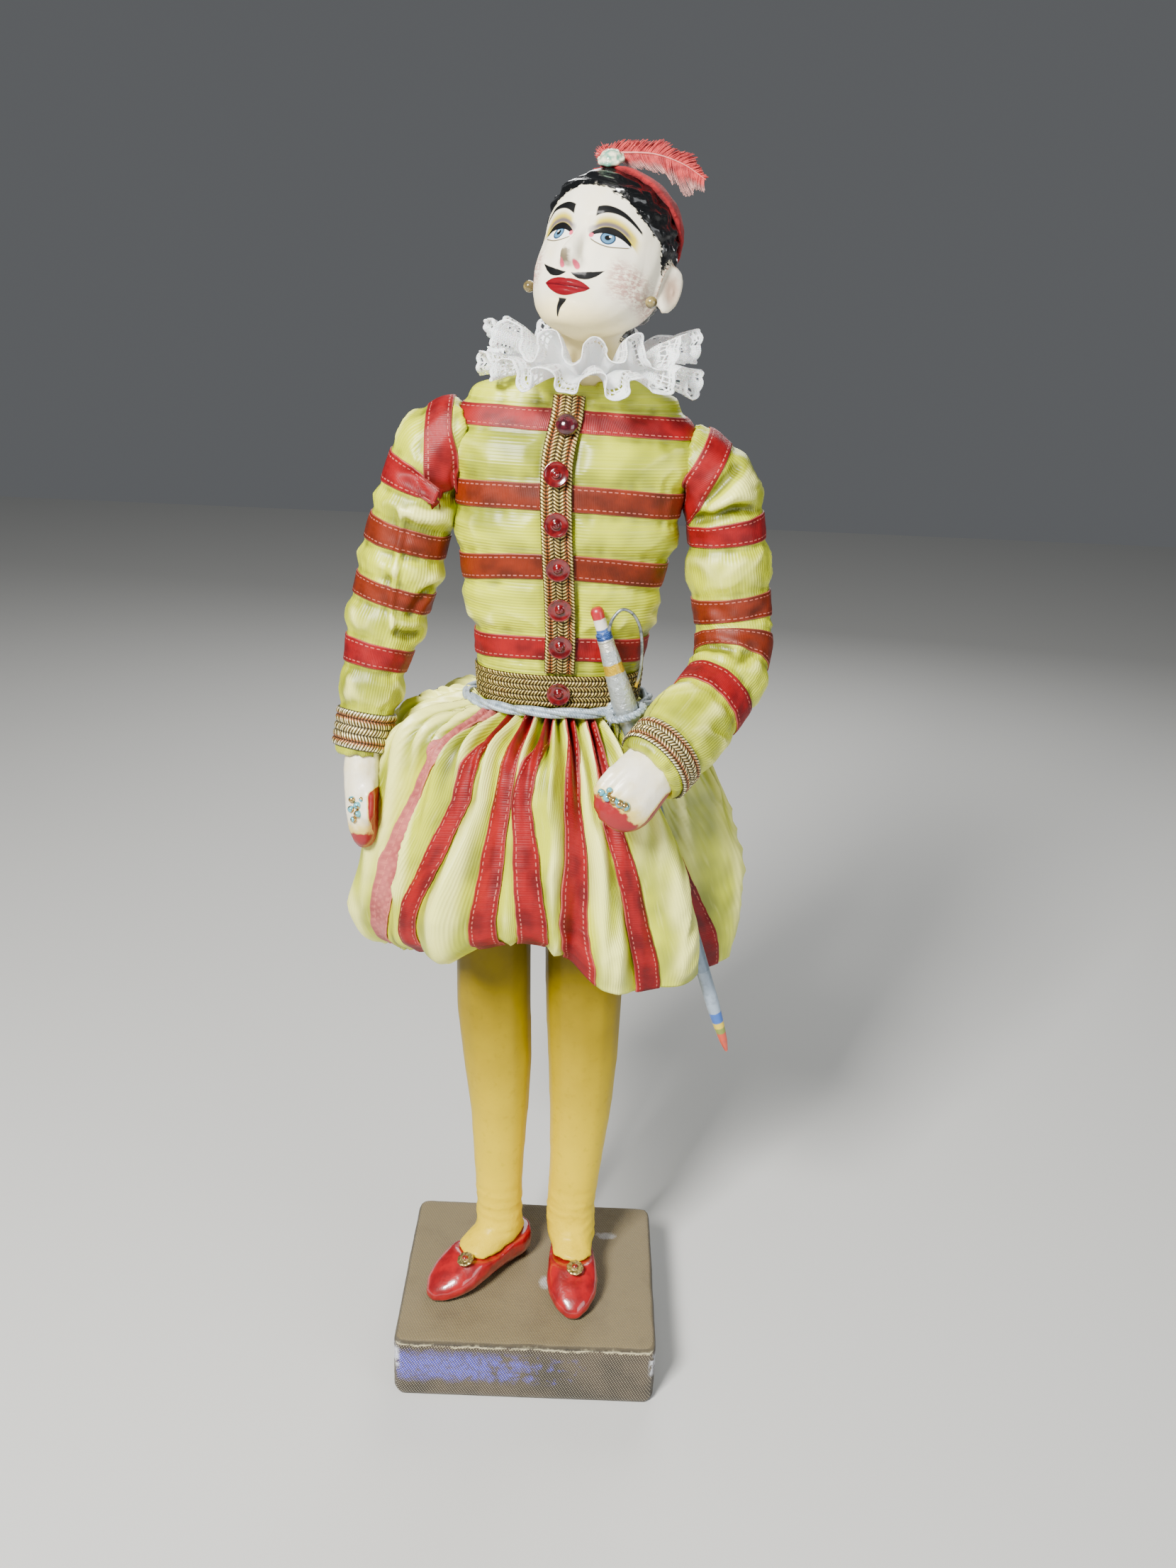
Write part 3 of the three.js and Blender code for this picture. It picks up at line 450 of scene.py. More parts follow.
# A band that goes round something, read off its own solid as even lines from edge to edge.
class Hoop:
    def __init__(self, name, columns=120, rows=10, axis=None, centre=None, arc=(0, turn), soft=3):
        bm = solidCopy(name)
        tree = BVHTree.FromBMesh(bm)
        middles, areas = facesOf(bm)
        centre = Vector(centre or (middles * areas).sum(0) / areas.sum())
        axis = Vector(axis or thinWay(middles, areas, np.array(centre)))
        if max(axis, key=abs) < 0:
            axis.negate()
        back = Vector((0, 1, 0))
        side = (back - axis * axis.dot(back)).normalized()
        fore = axis.cross(side)
        reach = 1.2 * max((v.co - centre).length for v in bm.verts) + 5
        half = max(abs((v.co - centre).dot(axis)) for v in bm.verts) + 0.2
        bm.free()
        angles = [arc[0] + (arc[1] - arc[0]) * i / columns for i in range(columns)]
        out = [side * math.cos(a) + fore * math.sin(a) for a in angles]

        def radiusAt(direction, across):
            start = centre + axis * across + direction * reach
            hit = tree.ray_cast(start, -direction, reach)
            return reach - hit[3] if hit[0] else None

        step = 0.2  # millimetres between two looks for an edge
        scan = [-half + step * i for i in range(int(2 * half / step) + 1)]
        edges = []
        for direction in out:
            met = [s for s in scan if radiusAt(direction, s) is not None]
            edges.append((met[0] - step / 2, met[-1] + step / 2) if len(met) > 5 else None)
        met = [i for i, e in enumerate(edges) if e]
        self.closed = len(met) == columns
        if not self.closed:  # starts after the gap
            first = next(i for i in met if not edges[i - 1])
            met = [(first + i) % columns for i in range(len(met))]
            met = [i for i in met if edges[i]]
        low, high = (self.softened(np.array([edges[i][k] for i in met]), 2) for k in (0, 1))
        radii = np.full((len(met), rows + 1), np.nan)
        for c, i in enumerate(met):
            for r in range(rows + 1):
                share = 0.07 + 0.86 * r / rows  # looks a little inside the edges
                radius = radiusAt(out[i], low[c] + (high[c] - low[c]) * share)
                if radius is not None:
                    radii[c, r] = radius
        for c in range(len(met)):
            known = ~np.isnan(radii[c])
            radii[c] = np.interp(np.arange(rows + 1), np.flatnonzero(known), radii[c][known])
        radii = np.stack([self.softened(radii[:, r], soft) for r in range(rows + 1)], 1)
        self.rows = rows
        self.out = [out[i] for i in met]
        self.lines = [[centre + axis * (low[c] + (high[c] - low[c]) * r / rows) + out[i] * radii[c, r]
                       for r in range(rows + 1)] for c, i in enumerate(met)]
        self.measure()

    def measure(self):
        count = len(self.lines)
        self.lengths = [0.0]
        for c in range(1, count + (1 if self.closed else 0)):
            a, b = (self.lines[k % count][self.rows // 2] for k in (c - 1, c))
            self.lengths.append(self.lengths[-1] + (b - a).length)

    def mend(self, cut, longer):  # draws the last columns of an open band on afresh, straight on
        for at, inward, more in ((0, 1, longer[0]), (-1, -1, longer[1])):
            for _ in range(0 if self.closed else cut):
                self.lines.pop(at)
                self.out.pop(at)
            for _ in range(0 if self.closed else cut + more):
                line = [a + (a - b) / 4 for a, b in zip(self.lines[at], self.lines[at + 4 * inward])]
                out = (self.out[at] + (self.out[at] - self.out[at + 4 * inward]) / 4).normalized()
                self.lines.insert(0 if at == 0 else len(self.lines), line)
                self.out.insert(0 if at == 0 else len(self.out), out)
        self.measure()

    def widen(self, low, high, top):  # draws each line on past its two ends, less and less up to a height
        for line in self.lines:
            across = line[-1] - line[0]
            more = across.normalized() * (1 - rise(line[-1].z, top - 9, top))
            begin = line[0] - more * low
            step = (across + more * (low + high)) / self.rows
            line[:] = [begin + step * r for r in range(self.rows + 1)]

    def softened(self, values, width):  # an average over neighbours, round the join of a closed band
        reach = 3 * width
        kernel = np.exp(-0.5 * (np.arange(-reach, reach + 1) / width) ** 2)
        wide = np.pad(values, reach, mode="wrap" if self.closed else "reflect",
                      **({} if self.closed else {"reflect_type": "odd"}))
        return np.convolve(wide, kernel / kernel.sum(), "valid")

    def strip(self, raised, skins=(), lift=0):  # lies on the skins where there are any under it
        columns = len(self.lengths) - 1

        def pointAt(a, b):
            c = round(a * columns)
            line, out = self.lines[c % len(self.lines)], self.out[c % len(self.lines)]
            point = line[round(b * self.rows)]
            hits = [skin.ray_cast(point + out * 2.5, -out, 5)[3] for skin in skins]
            hits = [hit for hit in hits if hit is not None]
            if hits:
                point = point + out * (2.5 - min(hits) + lift)
            return point + out * raised(self.lengths[c], b)

        return drawnGrid(columns, self.rows, pointAt,
                         lambda a, b: (self.lengths[round(a * columns)], b), self.closed)


# Finishes
satin = {
    # light is also a painted highlight on fold crests, and deep is painted shade in the creases
    "yellow": paint("c8d000"), "shade": paint("868e00"), "light": paint("ffff90"), "deep": paint("585c00"),
    "red": paint("96080f"), "redDark": paint("520408"), "rust": paint("7c2404"), "rustDark": paint("481402"),
    "stitch": paint("d07a6c"), "ribPitch": 0.75, "ribDepth": 0.06, "stitchLength": 1.5,
}


def satinFinish(name, mapped=False):  # ribbed silk, its ribs read from the map or from the grain layer
    finish = Finish(name, coatWeight=0.4, coatRoughness=0.4)
    place = finish.spot()
    grain = finish.axes(finish.seam())[0] if mapped else finish.layer("grain")
    broad = finish.cloud(place, 17, 2)
    slub = finish.cloud(finish.joined(grain * 1.6, finish.axes(place)[2] * 0.12, 0), 1, 1)
    base = finish.mix(broad.above(0.4, 0.7), satin["yellow"], satin["shade"])
    base = finish.mix(slub.above(0.55, 0.8) * 0.2, base, satin["light"])
    fold = finish.layer("fold")  # under 0 in a crease
    # the fold layer carries painted light: a painted highlight on each crest and painted shade in each crease
    base = finish.mix(fold.above(0.1, 0.9) * 0.8, base, satin["light"])
    base = finish.mix(fold.below(-0.9, -0.05) * 0.85, base, satin["deep"])
    finish.set("baseColor", base)
    finish.set("roughness", 0.36 + slub * 0.14)
    finish.relief(grain.wave(satin["ribPitch"]) + slub * 0.6, satin["ribDepth"])
    return finish


# woven edges, fine cross ribs and a row of stitches near each edge
def ribbonFinish(name, colour, dark, dotted=False):
    finish = Finish(name, specularIORLevel=0.3)
    u, v, _ = finish.axes(finish.seam())
    edge = abs(v - 0.5)  # 0 at the middle, 0.5 at the edges
    stitch = edge.near(0.355, 0.02, 0.012) * (u / satin["stitchLength"]).part().near(0.5, 0.3, 0.06)
    ribs = u.wave(0.42)
    sheen = finish.cloud(finish.joined(u * 0.12, v * 1.2, 0), 1, 2)
    wear = finish.cloud(finish.joined(u * 0.9, v * 9, 0), 1, 3)
    base = finish.mix(sheen.above(0.3, 0.7) * 0.75 + wear * 0.25, dark, colour)
    if dotted:
        dots = (u * 1.1 + v * 5).wave(2.2) * (u * 1.1 - v * 5).wave(2.2)
        base = finish.mix(dots * 0.5, base, satin["stitch"])
    base = finish.mix(stitch * 0.6, base, satin["stitch"])
    base = finish.mix(edge.above(0.455, 0.485) * 0.3, base, satin["stitch"])
    finish.set("baseColor", base)
    finish.set("roughness", 0.36 + wear * 0.3)
    finish.relief(ribs * 0.5 - stitch * 1.2 + edge.above(0.42, 0.46) * 0.8 + wear * 0.4, 0.06)
    return finish


yellowSatin = satinFinish("yellowSatin")
skirtSatin = satinFinish("skirtSatin", True)
redRibbon = ribbonFinish("redRibbon", satin["red"], satin["redDark"])
rustRibbon = ribbonFinish("rustRibbon", satin["rust"], satin["rustDark"])
ribbonBack = ribbonFinish("ribbonBack", paint("bc6864"), paint("8c3c3c"), True)
print("satin and ribbons mixed")


block = {
    "skin": 0.85, "rounds": 2, "thread": 0.8, "sag": 0.16,
    "top": paint("716446"), "front": paint("44382a"), "dark": paint("20180f"), "dot": paint("cfc4a0"),
    "worn": paint("f0e4b4"), "violet": paint("4038b8"), "scuff": paint("e6e8f0"),
    "spots": [(23.3, 16.7, 3.4, 1.6), (5.1, -4.9, 2.6, 3)],  # x, y and half sizes of the stains on top
}


def blockFinish():  # glued twill: pale dotted threads, worn along the upper front edge
    finish = Finish("clothCover", sheenWeight=0.1)
    place = finish.spot()
    x, y, z = finish.axes(place)
    thread = block["thread"]
    onTop = z.above(18.8, 19.6)
    down = z * (1 - onTop) + y * onTop
    across = x * (abs(x).below(36.9, 37.7)) + y * abs(x).above(36.9, 37.7)
    dots = (across + down * 0.55).wave(thread) * (across - down * 0.95).wave(thread)
    patches = finish.cloud(place, 12, 3, 0.6)
    fine = finish.cloud(place, 1.5, 3, 0.6)
    rough = finish.cloud(place, 3.5, 4, 0.65)
    front = y.below(-31.2, -30.4)
    base = finish.mix(onTop, finish.mix(patches.above(0.35, 0.7), block["front"], block["dark"]),
                      finish.mix(patches.above(0.45, 0.8) * 0.35, block["top"], block["front"]))
    base = finish.mix(dots.above(0.3, 0.75) * (0.5 - onTop * 0.38), base, block["dot"])
    violet = (rough + x.below(-30, 22) * 0.34).above(0.56, 0.78) * (z + rough * 6).near(14.6, 4.4, 2) * front
    violet = violet * x.below(12, 20) * (fine.above(0.3, 0.6) * 0.5 + 0.5)
    base = finish.mix(violet * (fine.above(0.35, 0.6) * 0.35 + 0.5), base, block["violet"])
    base = finish.mix(violet * dots.above(0.35, 0.8) * 0.6, base, block["scuff"])
    for spotX, spotY, wide, deep in block["spots"]:
        away = (((x - spotX) / wide) ** 2 + ((y - spotY) / deep) ** 2) ** 0.5 + (rough - 0.5) * 2
        base = finish.mix(away.below(0.5, 1.2) * onTop * 0.35, base, block["scuff"])
    wavy = finish.cloud(finish.joined(x * 0.12, 0, 0), 1, 3)
    worn = (z + (fine - 0.5) * 1.6 + (wavy - 0.5) * 1.6).near(18.7, 0.16, 0.42)
    worn = worn * front.most(y.below(-30.4, -29.6))
    worn = worn * (rough + x.above(18, 36) * 0.25).above(0.36, 0.56)
    base = finish.mix(worn * 0.8, base, block["worn"])
    corners = abs(x).above(35.4, 37) * (z + rough * 6).near(17, 3.6, 1.5)
    corners = corners * fine.above(0.36, 0.5) * y.below(-28, -26)
    base = finish.mix(corners * 0.9, base, block["scuff"])
    finish.set("baseColor", base)
    finish.set("roughness", 0.55 + fine * 0.3)
    finish.relief(dots * 0.8 + fine * 0.5 + rough * 0.8, 0.16)
    return finish


def makeBlock():
    bm = evenSkin(solidCopy("base_block"), block["skin"], block["rounds"])

    def sagAt(co):
        if co.z < 0.6:  # the underside stays flat
            return 0
        wave = noise.noise(co * 0.11) * block["sag"] + noise.noise(co * 0.5) * 0.06
        corner = rise(abs(co.x), 33, 38) * rise(abs(co.y), 27, 31.6)
        return wave - 0.25 - corner * 0.5 * abs(noise.noise(co * 0.4))

    displace(bm, sagAt)
    finished("blockCover", bm, blockFinish(), ["base_block"])


makeBlock()
print("block covered")


legs = {
    "skin": 0.75, "rounds": 16, "shoeSkin": 0.5, "shoeRounds": 9,
    # yellow, the darker top of each leg, is painted shade under the breeches
    "yellow": paint("786400"), "light": paint("e6c600"), "shade": paint("5c4a00"),
    "red": paint("a80f18"), "redDark": paint("7d0a12"), "sole": paint("3a1512"),
}


def stockingFinish():  # glossy yellow paint over modelling paste
    finish = Finish("yellowStocking", specularIORLevel=0.12, coatWeight=0.06, coatRoughness=0.2)
    place = finish.spot()
    low = finish.axes(place)[2].below(24, 70)
    # paler towards the bottom: the darker tops are painted shade under the breeches
    pale = finish.axes(place)[2].below(38, 128)
    lumps = finish.cloud(place, 2.2, 3)
    broad = finish.cloud(place, 11, 3)
    base = finish.mix(broad.above(0.3, 0.7) * 0.08 + pale * 0.92, legs["yellow"], legs["light"])
    base = finish.mix(lumps.above(0.55, 0.75) * 0.15, base, legs["shade"])
    finish.set("baseColor", base)
    finish.set("roughness", 0.3 + broad * 0.25)
    finish.relief(lumps * (0.25 + low * 1.2) + broad * 0.6, 0.22)
    return finish


def shoeFinish():
    finish = Finish("redEnamel", coatWeight=0.8, coatRoughness=0.06)
    place = finish.spot()
    height = finish.axes(place)[2]
    streaks = finish.cloud(place, 3.4, 3)
    base = finish.mix(streaks.above(0.35, 0.7), legs["red"], legs["redDark"])
    base = finish.mix(height.below(20.9, 21.6), base, legs["sole"])
    finish.set("baseColor", base)
    finish.set("roughness", 0.22 + streaks * 0.2)
    finish.relief(streaks + finish.cloud(place, 1.2, 2) * 0.35, 0.16)
    return finish


def makeLegs():
    stocking = stockingFinish()
    enamelRed = shoeFinish()

    def stockingLift(co):  # uneven paste, with folds above the shoes
        folds = 0.1 * noise.noise(co * 0.5) + 0.35 * creases(Vector((co.x * 0.06, co.y * 0.06, co.z * 0.3)))
        return 0.12 + 0.22 * noise.noise(co * 0.16) * rise(-co.z, -90, -24) + folds * rise(-co.z, -58, -34)

    for side in ("right", "left"):
        skin = evenSkin(solidCopy("leg_" + side), legs["skin"], legs["rounds"])
        displace(skin, stockingLift)
        finished("leg" + side.title(), skin, stocking, ["leg_" + side])
        shoe = evenSkin(solidCopy("shoe_" + side), legs["shoeSkin"], legs["shoeRounds"])
        displace(shoe, lambda co: 0.14 * rise(co.z, 20.6, 22) + 0.1 * noise.noise(co * 0.3))
        finished("shoe" + side.title(), shoe, enamelRed, ["shoe_" + side])


makeLegs()
print("legs and shoes made")


# Jacket and sleeves: satin that puffs out between what is sewn on it.
padding = {
    "skin": 0.7, "rounds": 9, "level": 0.5, "puff": {"trunk": 0.95, "right": 0.7, "left": 0.7},
    "pinch": 0.2, "reach": 4.6, "wrinkle": 1.25, "pucker": 0.32,
    "armRadius": 9.6,  # spaces the ribs round a sleeve
    # creases: where they run, how deep, how wide; a negative depth is a ridge
    "creases": {
        "right": [
            ([(-24.8, 4, 252.6), (-27, -3, 255.6), (-30, -5.4, 257), (-34.5, -4.3, 259.6),
              (-38.9, -2.5, 260)], 1.3, 1.5),
            ([(-26, -2, 249), (-31, -5.5, 249.6), (-36, -5, 252)], -0.9, 2.4),
            ([(-36.5, -4.6, 253), (-37.1, -5.2, 244), (-38.2, -5.3, 237), (-39.4, -5.6, 228),
              (-39.8, -5.3, 218)], -0.9, 0.7),
            ([(-29, 2, 219), (-35.6, -2.5, 219.4), (-40.8, -5.4, 221.4)], 1.3, 1.6),
            ([(-29.5, 2, 233), (-33, -3.5, 228.6), (-36, -4, 223)], 1.1, 1.3),
            ([(-42.6, -3, 236), (-39, -5.4, 233.4)], 0.8, 1.2),
            ([(-32, -4, 239), (-36.8, -5.4, 240.6)], 0.7, 1.3),
            ([(-44, -4, 208), (-40.6, -5, 211.6)], 0.7, 1.4),
        ],
        "left": [
            ([(33.4, 0, 250.4), (38.6, -4.6, 253), (43.2, -4.6, 254.6), (49.1, -0.2, 254)], 1.9, 1.3),
            ([(35, -3, 254), (38.4, -5, 257.6), (42, -3, 262.6), (44, 0, 265)], 1.1, 1.3),
            ([(36, -3, 252.6), (41, -5, 256.6), (46.8, -1.4, 260)], -0.8, 1.8),
            ([(33.6, 0, 246), (38, -5, 246.4), (43, -6, 244)], 0.7, 1.6),
            ([(53.9, -1.3, 229.6), (50, -6, 229), (46, -7.4, 231)], 1.1, 1.4),
            ([(38, -3, 219), (42, -8, 221), (47, -9, 219)], 1.1, 1.5),
            ([(52, -6, 222), (48, -10, 219), (43, -12, 217)], 0.9, 1.5),
            ([(40, -3, 231), (44, -7, 227)], 0.6, 1.5),
        ],
    },
    "armPaths": {
        "right": [(-22, 5, 270), (-31.4, 5, 260.6), (-36.8, 5, 243), (-41, 4, 226), (-45.2, 1.2, 209),
                  (-48.6, -4, 187.6)],
        "left": [(31, 5, 266), (40.6, 5, 256.2), (43.8, 5, 240), (46.8, 3, 221.4), (40.6, -10, 207.8),
                 (30, -24, 199.2), (25.6, -29.4, 195.6)],
    },
}


def besidePath(path, steps=60):  # for a point: how far along a path, and the way and distance round it
    points = [curvePoint(path, i / steps) for i in range(steps + 1)]
    lengths = lengthsAlong(points)

    def measure(co):
        i = min(range(steps + 1), key=lambda k: (points[k] - co).length_squared)
        along = (points[min(i + 1, steps)] - points[max(i - 1, 0)]).normalized()
        off = co - points[i]
        side = Vector((0, 1, 0)) - along * along.y
        side.normalize()
        return lengths[i] + off.dot(along), math.atan2(off.dot(side), off.dot(along.cross(side))), off.length
    return measure


def nearCrease(co, points):  # the distance to a bent line, and how far along it, from 0 to 1
    best, share = 1e9, 0
    for i, (a, b) in enumerate(zip(points, points[1:])):
        a, b = Vector(a), Vector(b)
        t = min(max((co - a).dot(b - a) / (b - a).length_squared, 0), 1)
        away = (co - a.lerp(b, t)).length
        if away < best:
            best, share = away, (i + t) / (len(points) - 1)
    return best, share


def creased(co, side):
    depth = 0
    for points, deep, wide in padding["creases"][side]:
        away, share = nearCrease(co, points)
        if away < 4 * wide:
            fade = rise(share, -0.05, 0.22) * (1 - rise(share, 0.78, 1.05))
            depth -= deep * fade * (hill(away, 0, wide) - 0.35 * hill(away, 2 * wide, wide))
    return depth


skins = {}  # the finished cloth, for the ribbons that lie on it


def puffed(bm, name, trims, wrinkleAt, puckerAt):  # lifts the cloth, the more the farther from its trims
    tree = treeOf(*trims)
    fold = bm.verts.layers.float.new("fold")
    bm.normal_update()
    lifts = []
    for v in bm.verts:
        away = tree.find_nearest(v.co)[3]
        free = rise(away, 0.8, padding["reach"])
        pinch = padding["pinch"] * hill(away, 1.1, 0.7)
        pucker = padding["pucker"] * puckerAt(v.co) * hill(away, 1.6, 1.4)
        folded = padding["wrinkle"] * wrinkleAt(v.co, free) + pucker * 1.5 - pinch
        # the fold layer sinks beside the trims, as painted shade along the ribbons and braid
        v[fold] = folded - 0.3 * hill(away, 0.8, 1.1)
        lifts.append((v, padding["level"] + padding["puff"][name] * free + folded))
    for v, lift in lifts:
        v.co += v.normal * lift
    bm.normal_update()
    skins[name] = BVHTree.FromBMesh(bm)


def makeJacket():
    bm = evenSkin(solidCopy("jacket"), padding["skin"], padding["rounds"])
    trims = ["trunk_ribbon_%d" % i for i in (1, 2, 3, 4)] + ["placket", "belt"]

    def wrinkleAt(co, free):  # folds that fan out from the armholes, and a slack waist
        side = abs(co.x - 3)
        near = 0.25 + 0.75 * rise(side, 12, 26)
        low = rise(-co.z, -236, -216)
        spot = Vector((co.x * 0.07, co.y * 0.07 + side * 0.05, co.z * 0.17 - side * 0.06))
        return creases(spot) * (0.45 * near + 0.7 * low) * (0.2 + 0.8 * free)

    def puckerAt(co):  # short gathers that run up and down into the ribbons
        return noise.noise(Vector((co.x * 0.42, co.y * 0.42, co.z * 0.08)))

    puffed(bm, "trunk", trims, wrinkleAt, puckerAt)
    grainLayer(bm, lambda co: co.z)
    finished("jacketBody", bm, yellowSatin, ["jacket"])


def makeSleeve(side):
    measure = besidePath(padding["armPaths"][side])
    bm = evenSkin(solidCopy("sleeve_" + side), padding["skin"], padding["rounds"])
    trims = ["sleeve_%s_ribbon_%d" % (side, i) for i in (1, 2, 3, 4)]
    trims += ["armhole_ribbon_" + side, "cuff_" + side]
    sense = -1 if side == "right" else 1

    def wrinkleAt(co, free):  # slanting folds, with the main creases where they were put
        along, angle, _ = measure(co)
        lean = angle + along * 0.045 * sense
        spot = Vector((math.cos(lean) * 1.25, math.sin(lean) * 1.25, along * 0.085))
        return creases(spot) * 0.6 * (0.2 + 0.8 * free) + creased(co, side) * (0.75 + 0.25 * free)

    def puckerAt(co):
        along, angle, _ = measure(co)
        return noise.noise(Vector((math.cos(angle) * 3.4, math.sin(angle) * 3.4, along * 0.08)))

    puffed(bm, side, trims, wrinkleAt, puckerAt)
    grainLayer(bm, lambda co: measure(co)[1] * padding["armRadius"])
    sleeve = finished("sleeve" + side.title(), bm, yellowSatin, ["sleeve_" + side])


makeJacket()
makeSleeve("right")
makeSleeve("left")
print("jacket and sleeves padded")


ribbonLook = {
    "thickness": 0.28, "lift": 0.36, "ripple": 0.1, "edgeDrop": 0.04, "cut": 4,
    "longer": {"sleeve_right_ribbon_1": (0, 6)},  # more columns at the ends that tuck into the armpits
    # how far each long edge is drawn out, and the height where that ends
    "wider": {"armhole_ribbon_right": (0, 1.6, 272), "armhole_ribbon_left": (0.5, 0, 266)},
}


def ribbonRaised(along, across):
    ripple = ribbonLook["ripple"] * noise.noise(Vector((along * 0.22, across * 2, 3)))
    return ripple - ribbonLook["edgeDrop"] * (abs(across - 0.5) * 2) ** 6


def makeRibbons():
    trims = {"armhole_ribbon_right": redRibbon, "armhole_ribbon_left": redRibbon}
    for i, finish in enumerate((redRibbon, rustRibbon, rustRibbon, redRibbon), 1):
        for place in ("trunk", "sleeve_right", "sleeve_left"):
            trims["%s_ribbon_%d" % (place, i)] = finish
    for name, finish in trims.items():
        words = name.split("_")
        if words[0] == "trunk":
            hoop = Hoop(name, 200, 12, axis=(0, 0, 1))
        else:
            hoop = Hoop(name, 110, 12, soft=4)
        hoop.mend(ribbonLook["cut"], ribbonLook["longer"].get(name, (0, 0)))
        if name in ribbonLook["wider"]:
            hoop.widen(*ribbonLook["wider"][name])
        side = next((word for word in words if word in ("right", "left")), "trunk")
        under = [skins["trunk"], skins[side]] if words[0] == "armhole" else [skins[side]]
        band = hoop.strip(ribbonRaised, under, ribbonLook["lift"])
        title = words[0] + "".join(word.title() for word in words[1:])
        thicken(finished(title, band, finish, [name]), ribbonLook["thickness"])


makeRibbons()
print("ribbons sewn")


braid = {
    # of each braid: its rows of cord, its gold and its shine
    "belt": (6, paint("806410"), paint("e0d080")),
    "placket": (5, paint("9a7a24"), paint("e6d284")),
    "cuff": (5, paint("c4ac5c"), paint("fbf6c8")),
    # dark is painted shade between the strands, and gap is painted shade between the cords
    "dark": paint("3a2a0a"), "trim": paint("b8501c"), "grime": paint("6e4414"), "gap": paint("1c1404"),
    "ridge": 0.34, "lay": 1.5, "thickness": 1.0,
}


def braidFinish(kind):  # cords of twisted metal thread, with dark gaps between
    rows, gold, shine = braid[kind]
    finish = Finish(kind + "Gold", metallic=0.45)
    u, v, _ = finish.axes(finish.seam())
    row = (v * rows).part()
    way = abs(((v * rows / 2).part() - 0.5)) * 2  # folds the lay back on every other cord
    strands = (u + way * 0.9).wave(0.85)
    gaps = abs(row - 0.5).above(0.32, 0.47)
    grime = finish.cloud(finish.spot(), 2.6, 3)
    # each strand darkens into painted shade in its troughs and turns to shine, a painted highlight, on its
    # crest
    base = finish.mix(strands.above(0.1, 0.7), braid["dark"], gold)
    base = finish.mix(strands.above(0.7, 0.95), base, shine)
    if kind != "belt":  # two lines of trimming, and bright edges
        edge = abs(v - 0.5)
        base = finish.mix(edge.near(0.3, 0.07, 0.03) * strands.above(0.3, 0.6) * 0.85, base, braid["trim"])
        base = finish.mix(edge.above(0.4, 0.44) * strands.above(0.2, 0.5), base, shine)
    base = finish.mix(grime.above(0.55, 0.75) * 0.4, base, braid["grime"])
    # the gaps between the cords painted near black, as painted shade
    base = finish.mix(gaps * 0.85, base, braid["gap"])
    finish.set("baseColor", base)
    finish.set("roughness", 0.26 + grime * 0.25)
    finish.relief(strands - gaps, 0.12)
    return finish


def braided(rows):  # cords side by side, each twisted against its neighbour
    def raised(along, across):
        row = int(min(across * rows, rows - 1))
        lean = (1 if row % 2 else -1) * (across * rows - row) * braid["lay"] * 0.5
        ridge = abs(math.sin(math.pi * across * rows)) ** 0.6
        return braid["ridge"] * (ridge - 1) + 0.12 * math.sin(turn * (along + lean) / braid["lay"]) * ridge
    return raised


def layBraid(name, node, hoop, kind, finish):
    rows = braid[kind][0]
    thicken(finished(name, hoop.strip(braided(rows)), finish, [node]), braid["thickness"])


def makeBraids():
    layBraid("beltBraid", "belt", Hoop("belt", 330, 24, axis=(0, 0, 1), soft=4), "belt", braidFinish("belt"))
    cuffGold = braidFinish("cuff")
    for side in ("right", "left"):
        node = "cuff_" + side
        layBraid("cuff" + side.title(), node, Hoop(node, 170, 20, soft=6), "cuff", cuffGold)
    low, high = (Vector(c) * 1000 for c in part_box("placket"))
    distance = 60  # the placket is read off from an axis this far in
    centre = Vector(((low.x + high.x) / 2, distance, (low.z + high.z) / 2))
    half = math.atan2((high.z - low.z) / 2, distance) * 1.15
    # the angle starts from the back and turns about X, so the front is half a turn on
    front = Hoop("placket", 170, 20, axis=(1, 0, 0), centre=centre, arc=(math.pi - half, math.pi + half))
    layBraid("placketBraid", "placket", front, "placket", braidFinish("placket"))


makeBraids()
print("braid laid")


# The breeches: satin gathered at the waist, with ribbons sewn down it and puffs between them. Angles are
# degrees round from the doll's left, turning forwards, at the waist, midway and at the hem.
breeches = {
    "x": 1.6, "y": 5, "halfWidth": 48, "halfDepth": 36.5, "waistWidth": 19, "waistDepth": 10.8, "top": 203,
    "puff": [(0, 203), (0.03, 201), (0.3, 198.2), (0.62, 194.6), (0.74, 188), (0.84, 176), (0.95, 163),
             (1.02, 152), (0.98, 144), (0.84, 140)],
    "hang": [(0, 203), (0.03, 200.6), (0.2, 196.5), (0.46, 188), (0.66, 177), (0.82, 164), (0.92, 151.5),
             (0.98, 142), (1, 133.5)],
    "courses": [
        (-62, -44, -31.5), (-66, -68, -56), (-78, -82, -79), (-90, -98, -94), (-102, -106, -108),
        (-114, -121, -137), (-128, -140, -158), (-160, -176, -188), (-196, -210, -220), (-236, -246, -254),
        (-280, -284, -288), (-326, -326, -326), (-399, -393, -374), (-408, -402, -384),
    ],
    # the width that the outlines are drawn to, their steps, and about what share of it the doll has
    "outlineReach": 50, "outlineSteps": 200, "flare": 0.57,
    "ribbonHalf": (2.2, 3.4, 4.8), "columnsEach": 26, "rows": 96,
    "puffOut": 3.3, "gather": 1.8, "wrinkle": 2.9, "wander": 3.4, "cloth": 0.6, "ribbon": 0.45,
    "wider": {6: 1.45}, "backShows": 6,  # one ribbon is wider, and hangs with its paler back outwards
    "cut": 82,  # the length of the cloth
    "mapWidth": 290, "ribbonLength": 80,  # space the weave and the stitches
    "fullFold": 1.6,  # a fold this high is coloured as a full one
}


def threeWay(values, t):
    top, middle, hem = values
    return top + (middle - top) * 2 * t if t < 0.5 else middle + (hem - middle) * (1 - (2 - 2 * t) ** 2)


